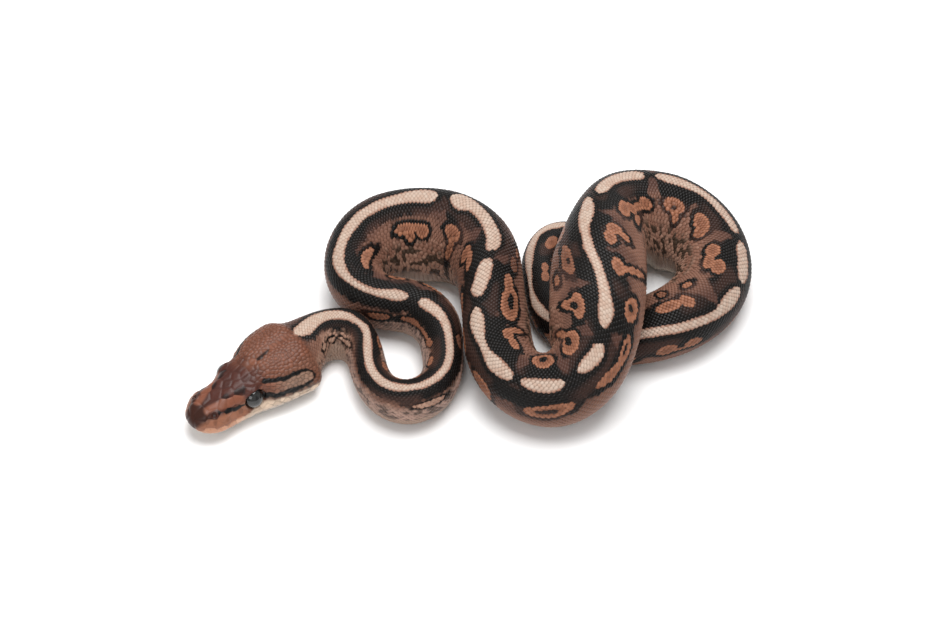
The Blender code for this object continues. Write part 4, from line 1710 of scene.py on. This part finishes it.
@dataclass
class BellyScutes:
    """The broad plates of the belly, each lapping over the next."""

    hide: Hide
    markings: Markings
    first: float = -3.0
    # Place, length of a scute.
    pitches: tuple = ((-4.0, 1.25), (60.0, 1.6), (200.0, 1.75), (294.0, 1.4), (324.0, 0.8), (343.0, 0.5))
    # The place of the vent, behind which the scutes are paired.
    vent: float = 308.0
    across: int = 17
    lift: float = 0.24
    # Along a scute: share of its length, height, brightness; the last two make its free edge.
    # The brightness is painted shade: darker at the front, under the scute before it, and down the free
    # edge.
    profile: tuple = ((-0.12, 0.15, 0.75), (0.3, 0.55, 0.95), (0.8, 0.85, 1.0), (1.12, 0.80, 0.9),
                      (1.14, -0.2, 0.6))
    # How far the middle of a free edge bows back, and how far the scutes reach under the flanks.
    bow: float = 0.22
    lap: float = 0.012
    # The most that the lift may be against the girth.
    lift_share: float = 0.03
    # How deep and how wide the split between paired scutes is.
    split_depth: float = 0.9
    split_width: float = 0.05
    seed: int = 8

    def stations(self) -> np.ndarray:
        """Find where the scutes lie.

        Returns:
            The places of their front edges, and of the last one's end.
        """
        places = [self.first]
        while places[-1] < self.hide.route.length - 1.2:
            places.append(places[-1] + float(read_table(places[-1], self.pitches)))
        return np.array(places)

    def build(self) -> bpy.types.Object:
        """Make the scutes.

        Returns:
            The piece.
        """
        stations = self.stations()
        spread = np.linspace(-1.0, 1.0, self.across)
        chance = np.random.default_rng(self.seed)
        pairs = zip(stations, stations[1:])
        parts = [self.scute(start, end, spread, chance.random()) for start, end in pairs]
        points, tones, bake = (np.concatenate(column) for column in zip(*parts))
        i, j = np.meshgrid(np.arange(len(self.profile) - 1), np.arange(self.across - 1), indexing="ij")
        corner = (i * self.across + j).ravel()
        quads = np.stack([corner, corner + self.across, corner + self.across + 1, corner + 1], axis=1)
        base = np.arange(len(parts))[:, None, None] * self.across * len(self.profile)
        return new_mesh("belly_scutes", points, (quads[None] + base).reshape(-1, 4), tones, bake)

    def scute(self, start: float, end: float, spread: np.ndarray, chance: float) -> tuple:
        """Lay out one scute.

        Args:
            start: The place of its front edge.
            end: The place of the next one's.
            spread: Where its points lie across it, from -1 to 1.
            chance: A random number from 0 to 1.

        Returns:
            Its points, their tones and their places on the unwrap.
        """
        along, rise, painted_shading = np.array(self.profile).T
        place = start + along[:, None] * (end - start) + self.bow * (end - start) * (1.0 - spread ** 2)
        share = np.broadcast_to(0.5 + spread * (0.5 - BELLY_SHARE + self.lap), place.shape)
        surface, normals = self.hide.read(place, share)
        lift = min(self.lift, float(self.hide.girth(start)) * self.lift_share)
        side = 1.0 - 0.5 * np.abs(spread) ** 6
        paired = start > self.vent
        split = 1.0 - self.split_depth * np.exp(-(spread / self.split_width) ** 2) * paired
        height = rise[:, None] * lift * (side * split)[None] - self.hide.skin_depth(start)
        points = surface + normals * height[..., None]
        colour = self.markings.body(place.ravel(), wrapped(share).ravel(), np.full(place.size, chance))
        u = (place + 4.0) / (self.hide.route.length + 8.0)
        v = np.broadcast_to(0.5 + spread * 0.45, u.shape)
        # The brightness along each scute is painted shade.
        tones = colour * np.repeat(painted_shading, self.across)[:, None]
        return points.reshape(-1, 3), tones, np.stack([u, v], axis=-1).reshape(-1, 2)


# Between the head's scales, forward distances count for less than others, so the scales are a little
# longer than they are wide.
STRETCH = np.array([0.86, 1.0, 1.0])


@dataclass
class ShieldSeeds:
    """The middles of the head's scales, chosen on its right and mirrored to its left.

    The table holds the points to choose from: forward, aside, level, and distance round from the crown.
    """

    head: HeadForm
    table: np.ndarray
    seed: int = 9
    # Sizes of the scales: forward, size near the middle line, size at the side.
    sizes: tuple = ((0.0, 0.85, 0.9), (4.0, 0.74, 0.8), (11.0, 0.72, 0.8), (14.0, 0.95, 0.9),
                    (17.0, 1.4, 1.1), (21.0, 2.0, 1.3), (25.0, 2.3, 1.5), (31.1, 2.2, 1.6))
    # Under the lips all are of one size.
    chin_size: float = 1.15
    upper_labials: int = 11
    lower_labials: int = 14
    # The rows of labials: where the first lies, how far the row runs back, its height over the lips.
    upper_row: tuple = (30.0, 24.0, 1.05)
    lower_row: tuple = (29.6, 23.0, -0.75)
    # The ring round the eye: how many, how far round from the gaze, how far out along it.
    oculars: int = 10
    ring_reach: float = 2.55
    ring_level: float = 1.7
    # The room that an upper labial, another chosen scale and the eye itself take.
    rooms: tuple = (1.5, 1.2, 2.4)
    # The eye's distance round from the crown.
    eye_round: float = 7.0
    # How many points are tried for the other scales.
    tries: int = 38000
    # How near two scales may come, against their size.
    closeness: float = 0.86
    # Nearer the middle line than this, a scale is its own mirror image.
    middle_band: float = 0.3

    def chosen(self) -> np.ndarray:
        """Choose the labials, the ring of scales round the eye, and the eye's own cell.

        Returns:
            Rows of the table; the last is the eye's.
        """
        head = self.head
        rows = []
        first, run, over = self.upper_row
        for i in range(self.upper_labials):
            at = first - run * ((i + 0.4) / self.upper_labials) ** 0.95
            rows.append(self.at_side(at, head.lip_level(at) + over))
        first, run, over = self.lower_row
        for i in range(self.lower_labials):
            at = first - run * (i + 0.4) / self.lower_labials
            rows.append(self.at_side(at, head.lip_level(at) + over))
        ahead, up, gaze = head.eye_axes(1.0)
        centre = head.eye_centre(1.0)
        for i in range(self.oculars):
            angle = 2.0 * math.pi * (i + 0.5) / self.oculars
            ring = centre + gaze * self.ring_level
            ring += (ahead * math.cos(angle) + up * math.sin(angle)) * self.ring_reach
            rows.append(self.nearest(np.sum((self.table[:, :3] - np.array(head.own(ring))) ** 2, axis=1)))
        eye = np.array(head.own(centre)) + np.array([0.0, 2.2, 0.0])
        rows.append(np.array([*eye, self.eye_round]))
        return np.array(rows)

    def at_side(self, at: float, height: float) -> np.ndarray:
        """Return the table's row nearest to a forward place and a height, off the middle line."""
        forward, aside, level, _ = self.table.T
        return self.nearest((forward - at) ** 2 + (level - height) ** 2 + (aside < self.middle_band) * 4.0)

    def nearest(self, gaps: np.ndarray) -> np.ndarray:
        """Return the table's row with the least gap."""
        return self.table[int(np.argmin(gaps))]

    def size_at(self) -> np.ndarray:
        """Find how large the scales are over the head.

        Returns:
            The size of a scale at each row of the table.
        """
        forward, aside, level, _ = self.table.T
        part = smooth(np.abs(aside), 1.5, 4.5)
        size = read_table(forward, self.sizes) * (1.0 - part) + read_table(forward, self.sizes, 2) * part
        return np.where(level < self.head.lip_level(forward) - 0.4, self.chin_size, size)

    def scatter(self) -> tuple:
        """Choose every middle: first the set ones, then any that keep clear of those before them.

        Returns:
            The middles in stretched coordinates, and their distances round from the crown.
        """
        forward, aside, level, rounds = self.table.T
        sizes = self.size_at()
        by_lips = (np.abs(level - self.head.lip_level(forward)) < 1.0) & (forward > self.head.lip_start)
        # A scale on the middle line is its own mirror image, so none stands halfway off it.
        halfway = (aside > sizes * 0.12) & (aside < sizes * 0.45)
        chosen = self.chosen()
        upper, other, eye = self.rooms
        taken = list(chosen[:, :3] * STRETCH)
        reach = [upper] * self.upper_labials + [other] * (len(chosen) - self.upper_labials - 1) + [eye]
        around = list(chosen[:, 3])
        spots = self.table[:, :3] * STRETCH
        order = np.random.default_rng(self.seed).permutation(len(self.table))[:self.tries]
        for number in order[~(by_lips | halfway)[order]]:
            size = sizes[number]
            gaps = np.linalg.norm(np.array(taken) - spots[number], axis=1)
            if np.all(gaps >= np.maximum(size, (size + np.array(reach)) / 2) * self.closeness):
                taken.append(spots[number])
                reach.append(size)
                around.append(rounds[number])
        right = np.array(taken)
        side = np.array(around)
        paired = right[:, 1] >= self.middle_band
        left = right[paired] * np.array([1.0, -1.0, 1.0])
        return np.concatenate([right, left]), np.concatenate([side, -side[paired]])


@dataclass
class CoatPoints:
    """The points of the head's coat, with what is known of each."""

    # Forward of the nape, aside, level, and distance round from the crown.
    forward: np.ndarray
    aside: np.ndarray
    level: np.ndarray
    offset: np.ndarray
    # Of the scale that owns the point: its middle's forward place and distance round, and a random number.
    own_forward: np.ndarray
    own_offset: np.ndarray
    jitter: np.ndarray
    # How far the point is from its scale's rim.
    gap: np.ndarray


@dataclass
class HeadShields:
    """The scales and shields of the head, as one coat with grooves between them."""

    hide: Hide
    markings: HeadMarkings
    body_markings: Markings
    rings: int = 236
    sides: int = 360
    seed: int = 10
    # The coat starts this far forward of the nape.
    start: float = 0.4
    # How deep the grooves are and how high the scales swell, and how far in from a rim each reaches.
    groove: float = 0.13
    groove_reach: float = 0.24
    dome: float = 0.07
    dome_reach: float = 0.95
    # How much the rear scales tilt up toward their ends, and at most.
    tilt: float = 0.07
    tilt_limit: float = 0.05
    # How deep the coat's rear edge goes under the scales of the neck.
    tucked: float = 0.16
    # The nostril: forward, aside, level; and the heat pits' first place, spacing and height over the lips.
    nostril: tuple = (27.2, 3.2, 7.1)
    pit_places: tuple = (29.0, 1.9, 1.35)
    pit_count: int = 4

    def build(self) -> bpy.types.Object:
        """Make the head's coat.

        Returns:
            The piece.
        """
        head = self.hide.head
        turn = (np.arange(self.sides) + 0.5) * 2.0 * math.pi / self.sides
        neck = self.hide.route.sections(np.array([0.0]), turn)[0]
        share = np.linspace(1.0, 0.0, self.rings, endpoint=False)[1:]
        share = share[head.reach * np.sin(share * math.pi / 2) > self.start]
        plain = head.base(share, turn, neck)
        shaped = head.shaped(plain, self.ring_normals(plain))
        normals = self.ring_normals(shaped)
        around = self.offsets(plain, turn)
        table = np.stack([*head.own(plain), around], axis=-1).reshape(-1, 4)
        seeds, seed_offsets = ShieldSeeds(head, table[table[:, 3] >= 0.0]).scatter()
        owner, gap = self.cells(table[:, :3] * STRETCH, seeds)
        jitter = np.random.default_rng(self.seed).random(len(seeds))
        own_forward = seeds[owner, 0] / STRETCH[0]
        coat = CoatPoints(*table.T, own_forward, seed_offsets[owner], jitter[owner], gap)
        rise = self.relief(coat) + self.pits(coat)
        points = shaped.reshape(-1, 3) + normals.reshape(-1, 3) * rise[:, None]
        tones = self.tones(coat)
        bake = self.unwrap(coat)
        tip = head.place(head.reach, 0.0, head.profile[-1][2])
        points = np.concatenate([points, [tip]])
        tones = np.concatenate([tones, tones[:1]])
        bake = np.concatenate([bake, bake[:1]])
        first = np.arange(self.sides)
        cap = fan_faces(len(points) - 1, np.roll(first, -1), first)
        faces = np.concatenate([ring_faces(0, len(share), self.sides), cap])
        return new_mesh("head_shields", points, outward(points - points.mean(axis=0), faces), tones, bake)

    @staticmethod
    def ring_normals(rings: np.ndarray) -> np.ndarray:
        """Return the outward unit normals of rings that aren't closed by a repeated point."""
        return Hide.normals_of(np.concatenate([rings, rings[:, :1]], axis=1))[:, :-1]

    @staticmethod
    def offsets(points: np.ndarray, turn: np.ndarray) -> np.ndarray:
        """Measure the distances round each ring from the crown.

        Args:
            points: The rings' points.
            turn: Their angles from the crown.

        Returns:
            Distances, positive on the head's right.
        """
        steps = np.linalg.norm(np.diff(points, axis=1), axis=2)
        first = np.linalg.norm(points[:, 0] - points[:, -1], axis=1)[:, None] / 2
        run = np.concatenate([first, first + np.cumsum(steps, axis=1)], axis=1)
        girth = run[:, -1:] + first
        return np.where(turn[None] < math.pi, run, run - girth)

    @staticmethod
    def cells(points: np.ndarray, seeds: np.ndarray) -> tuple:
        """Give each point to its nearest scale.

        Args:
            points: Points in stretched coordinates.
            seeds: Middles of the scales, in the same coordinates.

        Returns:
            The owner of each point, and how much farther the next scale's middle is.
        """
        owner = np.empty(len(points), int)
        gap = np.empty(len(points))
        batch = 4000
        for start in range(0, len(points), batch):
            part = points[start:start + batch]
            square = np.sum(part ** 2, axis=1)[:, None] + np.sum(seeds ** 2, axis=1)[None]
            far = np.sqrt(np.maximum(square - 2.0 * part @ seeds.T, 0.0))
            two = np.argpartition(far, 1, axis=1)[:, :2]
            pair = np.take_along_axis(far, two, axis=1)
            first = np.argmin(pair, axis=1)
            owner[start:start + batch] = np.take_along_axis(two, first[:, None], axis=1)[:, 0]
            gap[start:start + batch] = np.abs(pair[:, 0] - pair[:, 1])
        return owner, gap

    def relief(self, coat: CoatPoints) -> np.ndarray:
        """Work out the scales' domes, tilts and grooves.

        Args:
            coat: The coat's points.

        Returns:
            Heights over the head's form.
        """
        dome = smooth(coat.gap, 0.0, self.dome_reach)
        edge = smooth(coat.gap, 0.0, self.groove_reach)
        plain = 1.0 - 0.84 * smooth(coat.forward, 13.5, 17.0)
        rear = 1.0 - smooth(coat.forward, 12.0, 20.0)
        tilt = (coat.own_forward - coat.forward) * self.tilt * rear * edge
        rise = self.dome * (dome - 1.0) + self.groove * plain * (edge - 1.0)
        rise += np.clip(tilt, -self.tilt_limit, self.tilt_limit)
        return rise - self.tucked * (1.0 - smooth(coat.forward, 0.6, 2.4))

    def pits(self, coat: CoatPoints) -> np.ndarray:
        """Work out the nostrils and the heat pits along the lips.

        Args:
            coat: The coat's points.

        Returns:
            Heights over the head's form, most of them 0 and below.
        """
        aside = np.abs(coat.aside)
        at, away, height = self.nostril
        spot = np.sqrt((coat.forward - at) ** 2 + (aside - away) ** 2 + (coat.level - height) ** 2)
        rise = 0.12 * np.exp(-((spot - 0.75) / 0.25) ** 2) - 0.55 * np.exp(-(spot / 0.42) ** 2)
        first, spacing, over = self.pit_places
        for i in range(self.pit_count):
            at = first - spacing * i
            height = self.hide.head.lip_level(at) + over
            spot = np.sqrt((coat.forward - at) ** 2 + (coat.level - height) ** 2)
            rise -= 0.26 * np.exp(-(spot / 0.30) ** 2) * (aside > 1.5)
        return rise

    def tones(self, coat: CoatPoints) -> np.ndarray:
        """Colour the coat, each scale partly by its own middle, with painted shade in its grooves.

        Args:
            coat: The coat's points.

        Returns:
            Linear colours, one row for each point.
        """
        at = coat.forward * 0.7 + coat.own_forward * 0.3
        round_at = coat.offset * 0.7 + coat.own_offset * 0.3
        head = self.markings.read(at, round_at, coat.jitter)
        girth = np.maximum(self.hide.girth(-coat.forward), 1.0)
        body = self.body_markings.body(-coat.forward, coat.offset / girth, coat.jitter)
        tones = blend(body, head, smooth(coat.forward, *NAPE_CHANGE))
        # Painted shade in the grooves: each scale is darker near its rim, more so on the rear of the head.
        shade = 0.40 - 0.28 * smooth(coat.forward, 14.0, 18.0)
        return tones * (1.0 - shade * (1.0 - smooth(coat.gap, 0.0, 0.26)))[:, None]

    @staticmethod
    def unwrap(coat: CoatPoints) -> np.ndarray:
        """Lay the coat on its unwrap, a scale at a time.

        Args:
            coat: The coat's points.

        Returns:
            Two numbers for each point.
        """
        u = coat.own_forward / 31.1 * 0.96 + 0.02 + np.clip(coat.forward - coat.own_forward, -1, 1) * 0.0015
        v = 0.5 + coat.own_offset / 44.0 + np.clip(coat.offset - coat.own_offset, -1, 1) * 0.0015
        return np.stack([u, v], axis=-1)


@dataclass
class Eye:
    """One eye: a clear dome over a dark iris with an upright slit."""

    head: HeadForm
    side: float
    name: str
    segments: int = 64
    rings: int = 40

    def build(self) -> bpy.types.Object:
        """Make the eye's ball with its own coordinates stored on it.

        Returns:
            The piece.
        """
        centre = self.head.eye_centre(self.side) - FLOOR_CENTRE
        bpy.ops.object.select_all(action="DESELECT")
        bpy.ops.mesh.primitive_uv_sphere_add(
            segments=self.segments, ring_count=self.rings, radius=self.head.eye_radius * MM,
            location=Vector(centre * MM))
        eye = bpy.context.active_object
        eye.name = self.name
        eye.data.name = self.name
        bpy.ops.object.transform_apply(location=True, rotation=True, scale=True)
        bpy.ops.object.shade_smooth()
        ahead, up, gaze = self.head.eye_axes(self.side)
        points = np.empty(len(eye.data.vertices) * 3)
        eye.data.vertices.foreach_get("co", points)
        offset = points.reshape(-1, 3) / MM - centre
        own = np.stack([offset @ ahead, offset @ up, offset @ gaze], axis=1) / self.head.eye_radius
        layer = eye.data.attributes.new("eye_place", "FLOAT_VECTOR", "POINT")
        layer.data.foreach_set("vector", own.astype(np.float32).ravel())
        return eye


@dataclass(frozen=True)
class EyeFinish:
    """A silvery dark iris, a black slit and rim, and a wet gloss."""

    name: str = "eye_glass"
    iris: Tone = Tone(36, 36, 35)
    inner: Tone = Tone(15, 15, 15)
    slit: Tone = Tone(6, 6, 6)
    slit_width: float = 0.17
    slit_height: float = 0.62
    # Where the slit's edge starts and ends, against its size.
    slit_edge: tuple = (0.8, 1.15)
    # From the slit outward: where the inner tone, the iris, its dimmer edge and the black rim lie.
    bands: tuple = (0.12, 0.52, 0.70, 0.77)
    speckle: float = 0.175
    speckle_size: float = 9.0
    speckle_detail: float = 6.0
    roughness: float = 0.09
    specular: float = 0.25
    coat: float = 0.7
    coat_roughness: float = 0.03

    def material(self) -> bpy.types.Material:
        """Build the material from the eye's own coordinates.

        Returns:
            The material.
        """
        shading = Shading(self.name)
        place = shading.attribute("eye_place").outputs["Vector"]
        parts = shading.add("SeparateXYZ", {"Vector": place})
        x, y = parts.outputs["X"], parts.outputs["Y"]
        noise = shading.add("TexNoise", {"Vector": place, "Scale": self.speckle_size,
                                         "Detail": self.speckle_detail})
        speck = shading.maths("MULTIPLY", shading.maths("SUBTRACT", noise.outputs["Fac"], 0.5), self.speckle)
        radius = shading.maths("SQRT", shading.square_sum(x, y))
        iris = self.iris.linear()
        tones = (self.inner.linear(), iris, iris * 0.8, self.slit.linear())
        ramp = shading.ramp(shading.maths("ADD", radius, speck), tuple(zip(self.bands, tones)))
        wide = shading.maths("DIVIDE", x, self.slit_width)
        tall = shading.maths("DIVIDE", y, self.slit_height)
        low, high = self.slit_edge
        hard = shading.add("MapRange", {"Value": shading.square_sum(wide, tall), "From Min": low,
                                        "From Max": high})
        mix = shading.add("Mix", {})
        mix.data_type = "RGBA"
        shading.feed(mix, {"Factor": hard.outputs["Result"], "A": (*self.slit.linear(), 1.0), "B": ramp})
        shading.feed(shading.shader, {
            "Base Color": mix.outputs["Result"], "Roughness": self.roughness,
            "Specular IOR Level": self.specular, "Coat Weight": self.coat,
            "Coat Roughness": self.coat_roughness})
        return shading.material


@dataclass
class Studio:
    """A pale floor, soft light and the camera."""

    # The camera: how far down it looks in degrees, how far off it stands in metres, its lens, and the
    # point that it looks at in millimetres.
    elevation: float = 50.0
    distance: float = 0.8
    lens: float = 142.96
    target: tuple = (-0.97, -2.63, 8.0)
    floor_size: float = 6.0
    floor_greys: tuple = (0.90, 0.93)
    # The strength of the light from all round.
    surround: float = 0.48
    # The soft boxes: name, place and side in metres, power in watts.
    boxes: tuple = (
        ("sky_box", (0.05, 0.12, 0.75), 0.55, 7.5),
        ("front_box", (-0.25, -0.55, 0.45), 0.35, 1.2),
    )

    def build(self) -> None:
        """Set up the floor, the lights, the world and the camera."""
        self.floor()
        for box in self.boxes:
            self.light(*box)
        world = bpy.data.worlds.new("studio")
        world.use_nodes = True
        background = world.node_tree.nodes["Background"]
        background.inputs["Color"].default_value = (1.0, 1.0, 1.0, 1.0)
        background.inputs["Strength"].default_value = self.surround
        bpy.context.scene.world = world
        bpy.context.scene.view_settings.view_transform = "Standard"
        self.camera()

    def floor(self) -> None:
        """Lay the floor."""
        bpy.ops.object.select_all(action="DESELECT")
        bpy.ops.mesh.primitive_plane_add(size=self.floor_size, location=(0.0, 0.0, 0.0))
        floor = bpy.context.active_object
        floor.name = "floor"
        shading = Shading("floor_paper")
        place = shading.add("TexCoord", {})
        noise = shading.add("TexNoise", {"Vector": place.outputs["Object"], "Scale": 60.0})
        greys = tuple((position, (grey, grey, grey)) for position, grey in enumerate(self.floor_greys))
        paper = shading.ramp(noise.outputs["Fac"], greys)
        shading.feed(shading.shader, {"Base Color": paper, "Roughness": 0.8})
        floor.data.materials.append(shading.material)

    @staticmethod
    def light(name: str, place: tuple, size: float, power: float) -> None:
        """Hang a soft box that faces the model.

        Args:
            name: Its name.
            place: Where it hangs, in metres.
            size: Its side, in metres.
            power: Its power, in watts.
        """
        lamp = bpy.data.lights.new(name, "AREA")
        lamp.shape = "SQUARE"
        lamp.size = size
        lamp.energy = power
        box = bpy.data.objects.new(name, lamp)
        box.location = place
        box.rotation_euler = (-Vector(place)).to_track_quat("-Z", "Y").to_euler()
        bpy.context.scene.collection.objects.link(box)

    def camera(self) -> None:
        """Set the camera above the front, looking down at the model."""
        tilt = math.radians(self.elevation)
        back = Vector((0.0, -math.cos(tilt), math.sin(tilt)))
        eye = bpy.data.cameras.new("camera")
        eye.lens = self.lens
        eye.sensor_width = 36.0
        eye.clip_start = 0.01
        stand = bpy.data.objects.new("camera", eye)
        stand.location = Vector(self.target) * MM + back * self.distance
        stand.rotation_euler = (math.radians(90.0) - tilt, 0.0, 0.0)
        bpy.context.scene.collection.objects.link(stand)
        bpy.context.scene.camera = stand


@dataclass
class BallPython:
    """The whole animal."""

    palette: Palette = field(default_factory=Palette)

    def build(self) -> None:
        """Build every piece, dress it and hang it on the frame."""
        hide = Hide(Route(), HeadForm())
        markings = Markings(hide, self.palette)
        head_markings = HeadMarkings(self.palette)
        scale = CoatFinish("scale_gloss", 0.38, specular=0.15).material()
        belly = CoatFinish("belly_gloss", 0.42, specular=0.3).material()
        shield = CoatFinish("shield_gloss", 0.35, specular=0.22).material()
        under = CoatFinish("skin_matt", 0.62, bump=0.2).material()
        glass = EyeFinish().material()
        skin = Skin(hide, markings, head_markings).build()
        flesh = [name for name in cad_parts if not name.startswith("eye_")]
        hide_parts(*flesh)
        self.hang(skin, under, Slot.TRUNK)
        for piece in BodyScales(hide, markings).build():
            self.hang(piece, scale, Slot.TRUNK)
        self.hang(BellyScutes(hide, markings).build(), belly, Slot.TRUNK)
        self.hang(HeadShields(hide, head_markings, markings).build(), shield, Slot.HEAD)
        for name, side in (("eye_left", -1.0), ("eye_right", 1.0)):
            eye = Eye(hide.head, side, name + "_glass").build()
            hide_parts(name)
            self.hang(eye, glass, Slot.EYE)

    @staticmethod
    def hang(piece: bpy.types.Object, material: bpy.types.Material, slot: Slot) -> None:
        """Dress a piece, fix it to the body and report it.

        Args:
            piece: The piece.
            material: Its finish.
            slot: The record's slot that the finish answers to; not used.
        """
        piece.data.materials.append(material)
        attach(piece, "root")
        triangles = sum(len(face.vertices) - 2 for face in piece.data.polygons)
        LOG.info("%s: %d triangles", piece.name, triangles)


def main() -> None:
    """Build the studio and the animal."""
    logging.basicConfig(level=logging.INFO, format="%(message)s")
    Studio().build()
    BallPython().build()


if __name__ == "__main__":
    main()
